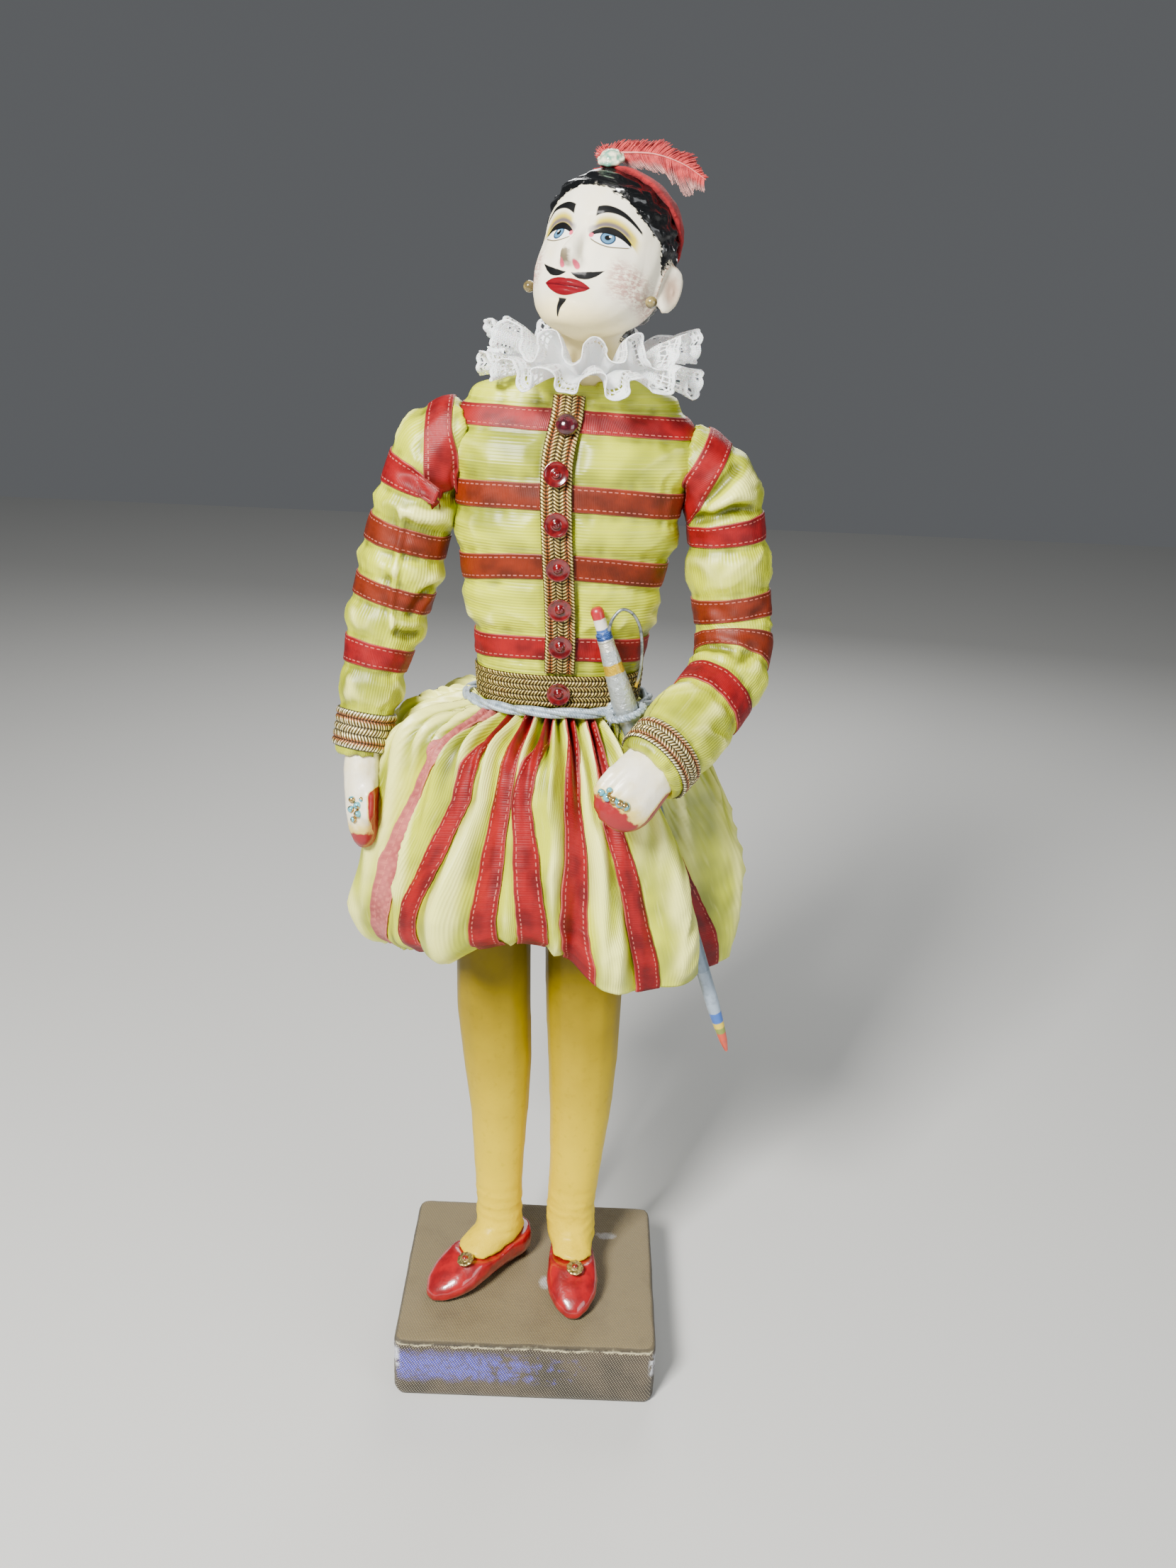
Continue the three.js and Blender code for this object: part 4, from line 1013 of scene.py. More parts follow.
def courseAt(i, t):  # where a course runs, in degrees: the inner ones wander a little
    course = threeWay(breeches["courses"][i], t)
    if 0 < i < len(breeches["courses"]) - 1:
        course += breeches["wander"] * noise.noise(Vector((t * 3.1, 5 * i, 2))) * rise(t, 0.08, 0.35)
    return course


def profileAt(name, t):  # a place on an outline, and the way it runs there
    outline = [(share * breeches["outlineReach"], z, 0) for share, z in breeches[name]]
    ahead = curvePoint(outline, min(t + 0.01, 1))
    behind = curvePoint(outline, max(t - 0.01, 0))
    return curvePoint(outline, t), ahead - behind


outlineSteps = breeches["outlineSteps"]
breechesProfiles = {name: [profileAt(name, i / outlineSteps) for i in range(outlineSteps + 1)]
                    for name in ("puff", "hang")}


def betweenRibbons(degrees, t):  # 0 on a ribbon, 1 midway between two, and the width of the gap
    places = [courseAt(i, t) for i in range(len(breeches["courses"]))]
    half = threeWay(breeches["ribbonHalf"], t)
    for i, (a, b) in enumerate(zip(places, places[1:])):
        if degrees >= b or i == len(places) - 2:
            left, right = a - (half if i else 0), b + (half if i < len(places) - 2 else 0)
            room = max((left - right) / 2, 0.5)
            return min(max((room - abs(degrees - (left + right) / 2)) / room, 0), 1), 2 * room
    return 0, 1


def roundAt(angle, radius, height):  # a place for noise, so that it closes round the doll
    return Vector((math.cos(angle) * radius, math.sin(angle) * radius, height))


def breechesFold(degrees, t):  # wrinkles, and gathers that run down from the waist
    angle = math.radians(degrees)
    gap, width = betweenRibbons(degrees, t)
    gap *= min(width / 9, 1)  # narrow gaps stay flatter
    spot = roundAt(angle, 3.4, t * 1.5)
    lengthways = roundAt(angle + 0.16 * t, 5.2, t * 1.1 + 0.9 * noise.noise(spot * 0.9))
    slanting = Vector((math.cos(angle) * 3.1 + t * 1.9, math.sin(angle) * 3.1, t * 2.6))
    fold = creases(lengthways) * (0.25 + 0.75 * gap) * rise(t, 0.02, 0.2) * (1 - 0.5 * rise(t, 0.6, 0.95))
    fold += 0.7 * creases(slanting) * gap * rise(t, 0.25, 0.6)
    pleats = math.sin(degrees * 1.05 + 3 * noise.noise(spot * 2)) * (1 - rise(t, 0.1, 0.65))
    pleats *= rise(t, 0, 0.06)
    return breeches["wrinkle"] * fold + breeches["gather"] * pleats


def breechesPoint(degrees, t, off=0):
    angle = math.radians(degrees)
    i = round(t * breeches["outlineSteps"])
    share = rise(-degrees, 68, 92) * (1 - rise(-degrees, 300, 345))
    hang, puff = breechesProfiles["hang"][i], breechesProfiles["puff"][i]
    place, heading = (hang[k].lerp(puff[k], share) for k in (0, 1))
    steep = math.hypot(breeches["flare"] * heading.x, heading.y)
    hem = 1 - 0.12 * hill(degrees, -95, 22) + 0.11 * rise(-degrees, 118, 175)
    hem -= 0.05 * rise(-degrees, 300, 350)
    flutes = 1.2 * math.sin(math.pi * min(t * 1.15, 1)) * math.cos(math.radians(degrees * 11))
    overSword = 3.2 * (1 - rise(-degrees, 44, 70)) * hill(t, 0.52, 0.14)
    tucked = 7.5 * rise(-degrees, 362, 392) * rise(t, 0.16, 0.42)
    puffedOut = 1.8 * rise(-degrees, 330, 345) * (1 - rise(-degrees, 362, 380)) * rise(t, 0.1, 0.5)
    panel = 2 * hill(degrees, -73.5, 2.6) - 2.8 * hill(degrees, -80.5, 3)  # the fold beside the front panel
    gap, width = betweenRibbons(degrees, t)
    pillow = breeches["puffOut"] * min((width / 14) ** 1.4, 1.3) * math.sin(gap * math.pi / 2)
    pillow *= rise(t, 0.03, 0.35)
    raised = pillow * (1 - 0.45 * rise(t, 0.9, 1)) + breechesFold(degrees, t) + off
    out = flutes * rise(-degrees, 48, 62) + overSword - tucked + puffedOut
    out += panel * rise(t, 0.5, 0.92)
    out -= raised * heading.y / steep
    up = raised * breeches["flare"] * heading.x / steep
    reach = breeches["outlineReach"]
    wide = breeches["waistWidth"] + (breeches["halfWidth"] - breeches["waistWidth"]) * place.x / reach
    deep = breeches["waistDepth"] + (breeches["halfDepth"] - breeches["waistDepth"]) * place.x / reach
    return Vector((breeches["x"] + (wide + out) * math.cos(angle),
                   breeches["y"] + (deep + out) * math.sin(angle),
                   breeches["top"] - (breeches["top"] - place.y) * hem + up))


def makeBreeches():
    courses = breeches["courses"]
    columns = (len(courses) - 1) * breeches["columnsEach"]

    def degreesAt(a, b):
        place = a * (len(courses) - 1)
        i = min(int(place), len(courses) - 2)
        begin, end = courseAt(i, b), courseAt(i + 1, b)
        return begin + (end - begin) * (place - i)

    length = breeches["cut"]
    # the fold layer carries each wrinkle's height, for a painted highlight on the crests and painted shade in
    # the creases
    bm = drawnGrid(columns, breeches["rows"],
                   lambda a, b: breechesPoint(degreesAt(a, b), b),
                   lambda a, b: (a * breeches["mapWidth"], b * length),
                   foldAt=lambda a, b: breechesFold(degreesAt(a, b), b) / breeches["fullFold"])
    area = sum(f.calc_area() for f in bm.faces)
    cloth = finished("breeches", bm, skirtSatin, ["skirt"])
    thicken(cloth, breeches["cloth"])
    area / length / 1000
    for n in range(1, len(courses) - 1):
        def ribbonPoint(a, b):
            t = 0.035 + 0.965 * b
            half = threeWay(breeches["ribbonHalf"], t) * 0.96 * breeches["wider"].get(n, 1)
            half *= 1 + 0.1 * noise.noise(Vector((b * 17, n, 1 if a > 0.5 else 4)))
            lift = 0.68 + 0.24 * noise.noise(Vector((a * 1.6, b * 24, n)))
            return breechesPoint(courseAt(n, t) + half * (1 - 2 * a), t, lift)
        bm = drawnGrid(8, 120, ribbonPoint, lambda a, b: (b * breeches["ribbonLength"], a))
        finish = ribbonBack if n == breeches["backShows"] else redRibbon
        ribbon = finished("breechesRibbon%d" % n, bm, finish, ["skirt_ribbon_%d" % n])
        thicken(ribbon, breeches["ribbon"])


makeBreeches()
print("breeches gathered")


# The lace ruff: two frills of round folds, the lower one falling over the chest.
ruff = {
    "x": 7.2, "y": 6, "z": 283.8, "halfWidth": 9.6, "halfDepth": 9,
    # how many folds and how deep, then how high the edge's middle is and how far out it reaches, each at
    # the front, right, left and back
    "frills": [
        {"folds": 12, "start": 0.9, "wave": 3.4,
         "height": (289.6, 292.6, 290.6, 290.6), "reach": (17.8, 25, 25.6, 18.6)},
        {"folds": 13, "start": 2.6, "wave": 2.8,
         "height": (282.2, 285, 283.2, 284), "reach": (22.4, 26.4, 26.8, 20)},
    ],
    "columns": 560, "rows": 16, "overhang": -1.3, "scallop": 0.5, "scallops": 80, "cloth": 0.26,
    "cut": 17, "mapWidth": 420, "hole": 2.3, "net": 0.6,  # the lace's width, and the sizes of its pattern
}


def laceFinish():  # white thread with rows of holes towards the edge
    # the lace glows faintly, a painted light that keeps it bright white
    finish = Finish("whiteLace", roughness=0.8, subsurfaceWeight=0.2, subsurfaceScale=0.002,
                    emissionColor=(1, 1, 0.97), emissionStrength=0.22)
    place = finish.seam()
    u, v, _ = finish.axes(place)
    holes = finish.cells(place, ruff["hole"], 0.3)
    fine = finish.cells(place, ruff["net"], 0.4)
    band = v.near(13.4, 2.7, 0.4)
    openings = finish.cloud(finish.joined(u * 0.11, v * 0.3, 0), 1, 2).above(0.4, 0.5)
    mesh = fine.above(0.2, 0.26) * v.near(7.5, 4.2, 0.4) * finish.cloud(place, 6, 2).above(0.42, 0.56)
    gone = (holes.above(0.1, 0.13) * band * openings).most(mesh * 0.9)
    finish.set("alpha", 1 - gone)
    worn = finish.cloud(finish.spot(), 5, 3).above(0.4, 0.8)
    finish.set("baseColor", finish.mix(worn * 0.2, paint("ffffff"), paint("dfe4d6")))
    finish.relief(fine.above(0, 0.3) + (u * 1.6).wave(1) * 0.3, 0.12)
    return finish


def allRound(values, direction):  # values for the front, right, left and back, blended between
    front, right, left, back = values
    sideways = left if direction.x > 0 else right
    return sideways + ((back if direction.y > 0 else front) - sideways) * direction.y ** 2


def makeRuff():
    length = ruff["cut"]
    x, y, z = ruff["x"], ruff["y"], ruff["z"]
    whole = bmesh.new()
    for n, frill in enumerate(ruff["frills"]):

        def pointAt(a, b):
            angle = turn * a
            loop = Vector((math.cos(angle), math.sin(angle), 5 * n))
            phase = frill["folds"] * angle + frill["start"] + 1.3 * noise.noise(loop * 1.6)
            size = 1 + 0.7 * noise.noise(loop * 2.3 + Vector((3, 1, 7)))
            over = ruff["overhang"] * math.sin(2 * phase) / frill["folds"] * b
            over *= 0.45 + 0.3 * noise.noise(loop * 4)
            direction = Vector((math.cos(angle + over), math.sin(angle + over), 0))
            reach = allRound(frill["reach"], direction) + 0.9 * math.cos(phase) + 0.8 * noise.noise(loop * 6)
            reach += ruff["scallop"] * abs(math.sin(math.pi * a * ruff["scallops"])) - 0.4
            wave = frill["wave"] * size * math.sin(phase)
            inner = Vector((x + ruff["halfWidth"] * direction.x, y + ruff["halfDepth"] * direction.y, z))
            outer = Vector((x, y, allRound(frill["height"], direction) + wave)) + direction * reach
            swell = math.sin(math.pi * b) * (1.5 - n * 0.4)
            ripple = 0.65 * noise.noise(Vector((a * 70, b * 2.4, 8 + n))) * b
            spot = inner.lerp(outer, b)
            spot.z += swell + ripple + wave * (b ** 0.6 - b)
            return spot

        gather(whole, drawnGrid(ruff["columns"], ruff["rows"], pointAt,
                                lambda a, b: (a * ruff["mapWidth"], b * length), True))
    area = sum(f.calc_area() for f in whole.faces)
    lace = finished("laceRuff", whole, laceFinish(), ["ruff"])
    thicken(lace, ruff["cloth"])
    area / length / 1000


makeRuff()
print("ruff folded")


# The head, in its own frame: -Y forward, +Z up, at its middle, turned and tipped back.
head = {
    "place": (9.9, 3, 307.5), "turned": (math.radians(-24), math.radians(4), math.radians(-26)),
    "skin": 0.42, "rounds": 14,  # the size of its faces, and how often they are smoothed
    "flesh": paint("f6efd8"), "warm": paint("e6d284"), "blush": paint("a8625e"), "black": paint("08090a"),
    "brown": paint("4c3c18"), "lips": paint("700010"), "lipsDark": paint("300008"), "iris": paint("4c7a9c"),
    "irisDark": paint("22384e"), "white": paint("f7f5ee"), "lid": paint("3e3860"), "shadow": paint("c8b400"),
    "pink": paint("d8566e"), "ear": paint("a85a1e"),
}
headPlace = (Matrix.Translation(Vector(head["place"])) @ Matrix.Rotation(head["turned"][2], 4, "Z")
             @ Matrix.Rotation(head["turned"][1], 4, "Y") @ Matrix.Rotation(head["turned"][0], 4, "X"))
headFrom = headPlace.inverted()


def hairAt(p):  # how far inside the hair a point of the head is, negative on the face
    x, y, z = p
    ax = abs(x)
    above = z - (11.4 - 0.034 * ax * ax)  # the hairline over the forehead
    edge = -5.6 + 0.45 * min(max(7 - z, 0), 9) + 6.5 * rise(-z, 0.5, 3.5)  # in front of the ears, then behind
    ear = math.sqrt(((ax - 15.7) / 3.4) ** 2 + ((y - 3.2) / 4.8) ** 2 + ((z + 2.2) / 6.6) ** 2)
    return max(min(max(above, y - edge), z + 15, (ear - 1) * 3.5), -9)


def faceLift(p):
    x, y, z = p
    ax = abs(x)
    if ax > 13:  # the hollow and the rim of the ear
        ear = math.hypot((y - 3) / 4.4, (z + 2.4) / 6.2)
        return rise(ax, 13, 14.4) * (0.5 * hill(ear, 0.9, 0.16) - 1.3 * hill(ear, 0.15, 0.5))
    if y > 2:
        return 0
    lift = -0.9 * hill(ax, 6.2, 3.8) * hill(z, 1, 2.8)  # sockets
    lift += 0.85 * hill(ax, 6.2, 3) * hill(z, 0.2, 1.9)  # eyeballs
    lift += 0.35 * hill(ax, 6.4, 4.8) * hill(z, 5.8, 1.5)  # brows
    lift += 0.8 * hill(x, 0, 4.4) * hill(z, -11.1, 1) + 0.9 * hill(x, 0, 3.8) * hill(z, -13, 1)
    lift -= 0.45 * hill(x, 0, 3.8) * hill(z, -12.1, 0.35)
    lift -= 0.5 * hill(x, 0, 3.2) * hill(z, -14.9, 0.9)
    lift += 0.8 * hill(x, 0, 3.6) * hill(z, -17.6, 2)
    lift += 0.4 * hill(ax, 9.5, 3) * hill(z, -5.5, 3.6)  # cheeks
    lift += 0.7 * hill(ax, 2, 0.95) * hill(z, -6.5, 1.1)  # wings of the nose
    lift += 0.9 * hill(x, 0, 1.5) * hill(z, -4, 3.4)  # and its ridge
    return lift


def headFinish():
    finish = Finish("paintedHead", coatRoughness=0.14, specularIORLevel=0.15)
    place = finish.spot(head["place"], head["turned"])
    x, y, z = finish.axes(place)
    ax = abs(x)
    front = y.below(-3, 0)
    hair = finish.layer("grain")
    strokes = finish.cloud(finish.joined(x * 0.55, y * 0.9, z * 1.5), 1.1, 3, 0.7)
    streak = finish.cloud(finish.joined(ax * 0.5, y * 0.4 + z * 1.2, z * 1.6 - y), 1.2, 3, 0.7)
    broad = finish.cloud(place, 7, 3)
    skin = finish.mix(broad.above(0.45, 0.85) * 0.35, head["flesh"], head["warm"])

    def brush(share, colour):  # one more coat over what is painted so far
        nonlocal skin
        skin = finish.mix(share, skin, head[colour])

    def awayFrom(across, up):  # the distance from a spot on either half of the face
        return ((ax - across) * (ax - across) + (z - up) * (z - up)) ** 0.5

    # painted shade: the jaw and the chin warmer and darker towards the bottom
    brush(z.below(-18, -11) * 0.7, "warm")
    rubbed = ax.near(11.4, 2.8, 1.6) * z.near(-7.4, 3.6, 2) * streak.above(0.35, 0.6) * y.below(3, 6)
    brush(rubbed * 0.75, "blush")
    ear = (((y - 3) / 4.4) ** 2 + ((z + 2.4) / 6.2) ** 2) ** 0.5 + (strokes - 0.5) * 0.25
    onEar = ax.above(13.4, 14.4)
    brush(ear.below(0.2, 0.85) * onEar * 0.55, "ear")
    brush(ear.near(0.95, 0.08, 0.1) * onEar * streak.above(0.4, 0.6) * 0.7, "ear")
    # eyes, drawn on both sides by the distance from the middle
    u = (ax - 6.3) / 4.1
    curve = 1 - u * u
    slant = (ax - 6.3) * 0.05
    lidLine = slant + 0.25 + curve * 1.6
    lowLine = slant - 0.1 - curve * 1.35
    onLid = z - lidLine
    brush(onLid.above(0.2, 0.7) * onLid.below(2.2, 3.8) * ax.near(7.2, 4.4, 0.9) * front * 0.95, "shadow")
    brush(onLid.near(1.5, 0.5, 0.4) * ax.near(6.4, 3.8, 0.9) * front * 0.85, "lid")
    # painted shade in the eye socket beside the nose, in the lid colour
    corner = (ax - 2.6) * (ax - 2.6) + (z - 1.4) * (z - 1.4)
    brush(corner.below(0.3, 2) * front * 0.5, "lid")
    opened = (lidLine - z).least(z - lowLine).above(-0.05, 0.12) * front
    away = awayFrom(6.1, 0.45)
    eye = finish.mix(away.below(1.5, 1.65), head["white"], head["irisDark"])
    eye = finish.mix(away.below(1.15, 1.35), eye, head["iris"])
    eye = finish.mix(away.below(0.55, 0.7), eye, head["black"])
    # a white dot in each iris, a painted highlight
    eye = finish.mix(awayFrom(6.5, 0.9).below(0.2, 0.34), eye, head["white"])
    skin = finish.mix(opened, skin, eye)
    liner = 0.4 + curve * 0.36
    brush((abs(onLid - 0.3) - liner).below(-0.08, 0.08) * ax.near(6.4, 4.2, 0.25) * front, "black")
    brush((z - lowLine).near(-0.08, 0.16, 0.08) * ax.near(6.5, 3.9, 0.3) * front * 0.9, "brown")
    brush(awayFrom(2.5, 0.2).below(0.4, 0.7) * front, "pink")
    browLine = 6.3 - (ax - 6.4) * (ax - 6.4) * 0.075
    browHalf = 0.95 - (ax - 4) * 0.085
    brush((abs(z - browLine) - browHalf).below(-0.14, 0.14) * ax.near(7.3, 4.6, 0.2) * front, "black")
    # nose, moustache, lips and chin
    # painted shade: a brown patch under the nose
    uneven = (strokes - 0.5) * 1.2
    under = (z + uneven).near(-6.4, 1.2, 0.5) * (x + uneven).near(-0.9, 1.5, 0.6) * front
    brush(under * 0.85, "brown")
    brush(awayFrom(1.8, -7.4).below(0.55, 0.85) * front, "pink")
    lipLine = (ax - 2.4) * (ax - 2.4) * 0.085 - 9.2
    lipHair = (ax - 0.5) * (7.6 - ax) * 0.068 + (strokes - 0.5) * 0.3
    brush((abs(z - lipLine) - lipHair).below(-0.12, 0.12) * ax.near(4.1, 3.5, 0.1) * front, "black")
    upper = -10.2 - (ax - 1.6) * (ax - 1.6) * 0.07
    lower = -14.1 + ax * ax * 0.085
    lips = (upper - z).least(z - lower).above(-0.06, 0.1) * front
    part = (z - ax * 0.08).near(-12, 0.1, 0.16) * 0.8 + strokes.above(0.5, 0.7) * 0.3
    skin = finish.mix(lips, skin, finish.mix(part, head["lips"], head["lipsDark"]))
    brush((ax - (z + 19.4) * 0.2).below(-0.1, 0.1) * z.near(-16.6, 2.1, 0.15) * front, "black")
    cover = (hair + (strokes - 0.5) * 3).above(-0.15, 0.15)
    finish.set("baseColor", finish.mix(cover, skin, head["black"]))
    finish.set("roughness", (1 - cover) * (0.6 + broad * 0.15) + cover * 0.14)
    finish.set("coatWeight", 0.06 + cover * 0.94)
    finish.relief(broad * 0.3 + strokes * (0.15 + cover * 2.4), 0.2)
    return finish


def makeHead():
    bm = evenSkin(solidCopy("head"), head["skin"], head["rounds"])

    def liftAt(co):
        p = headFrom @ co
        hair = hairAt(p)
        waves = math.sin(1.5 * (p.z * 0.9 - p.y * 0.6) + 2.4 * noise.noise(p * 0.25)) * 0.3
        waves += 0.35 * noise.noise(Vector((p.x * 0.25, p.y * 0.7, p.z * 0.9)))
        return 0.12 + (faceLift(p) if hair < 0 else rise(hair, 0, 1.4) * (0.55 + waves))

    displace(bm, liftAt)
    grainLayer(bm, lambda co: hairAt(headFrom @ co))
    finished("paintedHead", bm, headFinish(), ["head"])


makeHead()
print("head painted")


# What the head wears
hat = {
    "felt": paint("9c0d16"), "feltDark": paint("6e070e"), "skin": 0.4, "rounds": 7,
    "spine": [(6.6, 5, 331.2), (13, 4.8, 331.8), (20, 5, 331.8), (26.6, 5.2, 330), (32, 5.4, 327)],
    # how far the barbs reach, from the quill to the tip
    "above": [1.6, 2.4, 2.6, 2, 0.7],
    "below": [1.4, 2.2, 3.4, 3.7, 1.6],
    "quill": 0.34, "barb": 0.34, "thickness": 0.07, "barbs": 340, "tuft": 36,
    "coral": paint("c23a38"), "deep": paint("8c101a"), "pale": paint("f0b8ac"),
}


def feltFinish():
    finish = Finish("redFelt", roughness=0.92, sheenWeight=0.05, sheenRoughness=0.6)
    place = finish.spot()
    fuzz = finish.cloud(place, 0.7, 4, 0.7)
    base = finish.mix(finish.cloud(place, 5, 3).above(0.35, 0.7), hat["felt"], hat["feltDark"])
    finish.set("baseColor", finish.mix(fuzz * 0.35, base, hat["felt"]))
    finish.relief(fuzz, 0.3)
    return finish


def featherFinish():
    finish = Finish("coralFeather", roughness=0.7, sheenWeight=0.2, sheenRoughness=0.4)
    v = finish.axes(finish.seam())[1]  # 0 at the quill
    tone = finish.cloud(finish.spot(), 1.6, 3)
    base = finish.mix(tone.above(0.35, 0.7), hat["coral"], hat["deep"])
    finish.set("baseColor", finish.mix(v.above(0.4, 1) * 0.85, base, hat["pale"]))
    return finish


def makeCap():
    bm = evenSkin(solidCopy("cap"), hat["skin"], hat["rounds"])
    displace(bm, lambda co: 0.12 + 0.16 * noise.noise(co * 0.35))
    finished("feltCap", bm, feltFinish(), ["cap"])


def addBarbs(quill):
    spine = hat["spine"]
    reaches = [[(reach, 0, 0) for reach in hat[way]] for way in ("above", "below")]
    for n in range(hat["barbs"]):
        share = (n // 2 + 0.5) / (hat["barbs"] / 2)
        low = n % 2
        root = curvePoint(spine, share * 0.98)
        ahead, behind = min(share + 0.02, 1), max(share - 0.02, 0)
        along = (curvePoint(spine, ahead) - curvePoint(spine, behind)).normalized()
        up = Vector((0, 1, 0)).cross(along).normalized() * (-1 if low else 1)
        if (up.z < 0) != bool(low):
            up.negate()
        stray = noise.noise(Vector((share * 9, 2, 2 + low)))  # barbs cling together in locks
        reach = curvePoint(reaches[low], share).x * (1 + 0.8 * stray + random.uniform(-0.15, 0.15))
        lean = 0.8 + 0.5 * noise.noise(Vector((share * 7, 6 + low, 1)))
        lift = Vector((0, random.uniform(-0.7, 0.7), -0.5 * low))

        def barbAt(a, b):
            sweep = root + up * reach * b + along * (reach * lean * b ** 1.5) + lift * b
            bowed = Vector((0, 0.08 * math.sin(a * math.pi), 0))
            return sweep + along * (a - 0.5) * hat["barb"] * (1.05 - b) + bowed
        gather(quill, drawnGrid(2, 6, barbAt, lambda a, b: (share * 30, b * (1 if low else 0.5))))


def addTuft(quill):  # loose red down beside the brooch
    brooch = middleOf("cap_jewel")
    for n in range(hat["tuft"]):
        angle = random.uniform(2.3, 4.3)
        away = Vector((math.cos(angle), random.uniform(0, 0.5), math.sin(angle)))
        root = brooch + Vector((0, 1.6, 0)) + away * 1.6
        reach = random.uniform(1.2, 2.3)
        side = Vector((-away.z, 0, away.x)) * 0.16

        def downAt(a, b):
            bent = Vector((0, 0.3 * b * b, 0.5 * b * b))
            return root + away * reach * b + side * (2 * a - 1) * (1.05 - b) + bent
        gather(quill, drawnGrid(2, 4, downAt, lambda a, b: (n, b * 0.3)))


def makeFeather():
    quill = tube(lambda t: curvePoint(hat["spine"], t), lambda t: hat["quill"] * (1 - 0.75 * t), 8, 40)
    addBarbs(quill)
    addTuft(quill)
    thicken(finished("coralFeather", quill, featherFinish(), ["feather"]), hat["thickness"])


makeCap()
makeFeather()
print("cap and feather made")


trinkets = {
    # each profile is radius and height, from the middle of the back to the middle of the front
    "cup": [(0, 0), (1.6, 0.02), (2.7, 0.32), (2.95, 0.62), (2.9, 0.74), (2.5, 0.5), (1.5, 0.3), (1.05, 0.34),
            (1.02, 0.7), (0.8, 1.05), (0.42, 1.25), (0.2, 1.2), (0, 1.05)],
    "button": [(0, 0), (2.3, 0), (2.62, 0.3), (2.66, 0.75), (2.4, 1.25), (1.9, 1.72), (1.2, 2.08), (0, 2.25)],
    "brooch": [(0, 0), (2.9, 0), (3.1, 0.35), (3.1, 0.8), (2.8, 1), (2.55, 0.95), (2.45, 1.25), (1.7, 2.2),
               (0, 2.5)],
    "pearl": [(0, -1.4), (0.7, -1.21), (1.21, -0.7), (1.4, 0), (1.21, 0.7), (0.7, 1.21), (0, 1.4)],
    "rosette": [(0, 0), (2.5, 0), (2.9, 0.3), (2.7, 0.72), (2.3, 0.62), (1.9, 0.95), (1.5, 0.62), (1.15, 0.7),
                (1.05, 1.2), (0.7, 1.6), (0, 1.8)],
}


def glassFinish(name, colour, dark, rough=0.12):
    finish = Finish(name, roughness=rough, coatWeight=0.6, coatRoughness=0.04)
    place = finish.spot()
    finish.set("baseColor", finish.mix(finish.cloud(place, 1.5, 2).above(0.35, 0.65), colour, dark))
    finish.set("roughness", rough + finish.cloud(place, 0.8, 3) * 0.12)
    return finish


def faceOf(name):  # the frame of a thin round node: its middle, with Z pointing out of its front
    bm = solidCopy(name)
    middles, areas = facesOf(bm)
    bm.free()
    centre = (middles * areas).sum(0) / areas.sum()
    axis = thinWay(middles, areas, centre)
    centre = Vector(centre)
    if axis.dot(Vector((0, -1, 0.35))) < 0:
        axis.negate()
    low = min((Vector(m) - centre).dot(axis) for m in middles)
    return Matrix.Translation(centre + axis * low) @ axis.to_track_quat("Z", "Y").to_matrix().to_4x4()


def setTrinket(name, bm, place, finish, node):
    bmesh.ops.transform(bm, matrix=place, verts=bm.verts)
    finished(name, bm, finish, [node])


def makeTrinkets():
    garnet = glassFinish("redSequin", paint("6a0c10"), paint("46070b"))
    plum = glassFinish("darkButton", paint("4a141d"), paint("2a0a10"), 0.08)
    paste = glassFinish("pasteJewel", paint("f6efcf"), paint("6fa48c"), 0.06)
    pearl = glassFinish("earPearl", paint("8c7c4a"), paint("54492c"), 0.15)
    for i in range(1, 8):
        node = "sequin_%d" % i
        form, glass = ("button", plum) if i == 1 else ("cup", garnet)
        setTrinket("sequin%d" % i, turnedForm(trinkets[form]), faceOf(node), glass, node)
    bm = turnedForm(trinkets["brooch"])
    for v in bm.verts:  # its rim in eight waves, as if cut
        v.co.xy *= 1 + 0.05 * math.cos(math.atan2(v.co.y, v.co.x) * 8)
    setTrinket("capBrooch", bm, faceOf("cap_jewel"), paste, "cap_jewel")
    for side in ("right", "left"):
        node = "earring_" + side
        place = Matrix.Translation(middleOf(node))
        setTrinket("earring" + side.title(), turnedForm(trinkets["pearl"]), place, pearl, node)
        bm = turnedForm(trinkets["rosette"])
        for v in bm.verts:  # petals round the stone
            angle = math.atan2(v.co.y, v.co.x)
            reach = math.hypot(v.co.x, v.co.y)
            v.co.xy *= 0.86 + 0.03 * math.cos(angle * 9) * rise(reach, 1.4, 2.4)
            v.co.z += 0.05 * math.cos(angle * 9) * rise(reach, 1.2, 2)
        node = "buckle_" + side
        setTrinket("rosette" + side.title(), bm, faceOf(node), rosetteFinish(side), node)


def rosetteFinish(side):
    finish = Finish("rosette" + side.title(), metallic=0.8, coatWeight=0.3)
    centre = middleOf("buckle_" + side)
    x, y, _ = finish.axes(finish.spot(tuple(centre)))
    away = (x * x + y * y) ** 0.5
    grain = finish.cloud(finish.spot(), 0.7, 3)
    stone = away.below(0.85, 1.0)
    metal = finish.mix(grain.above(0.35, 0.7), paint("cdb878"), paint("7d6a3c"))
    finish.set("baseColor", finish.mix(stone, metal, paint("7c2418")))
    finish.set("metallic", 0.85 - stone * 0.8)
    finish.set("roughness", 0.3 - stone * 0.15 + grain * 0.1)
    finish.relief(grain, 0.08)
    return finish


makeTrinkets()
print("sequins, brooch, pearls and rosettes set")


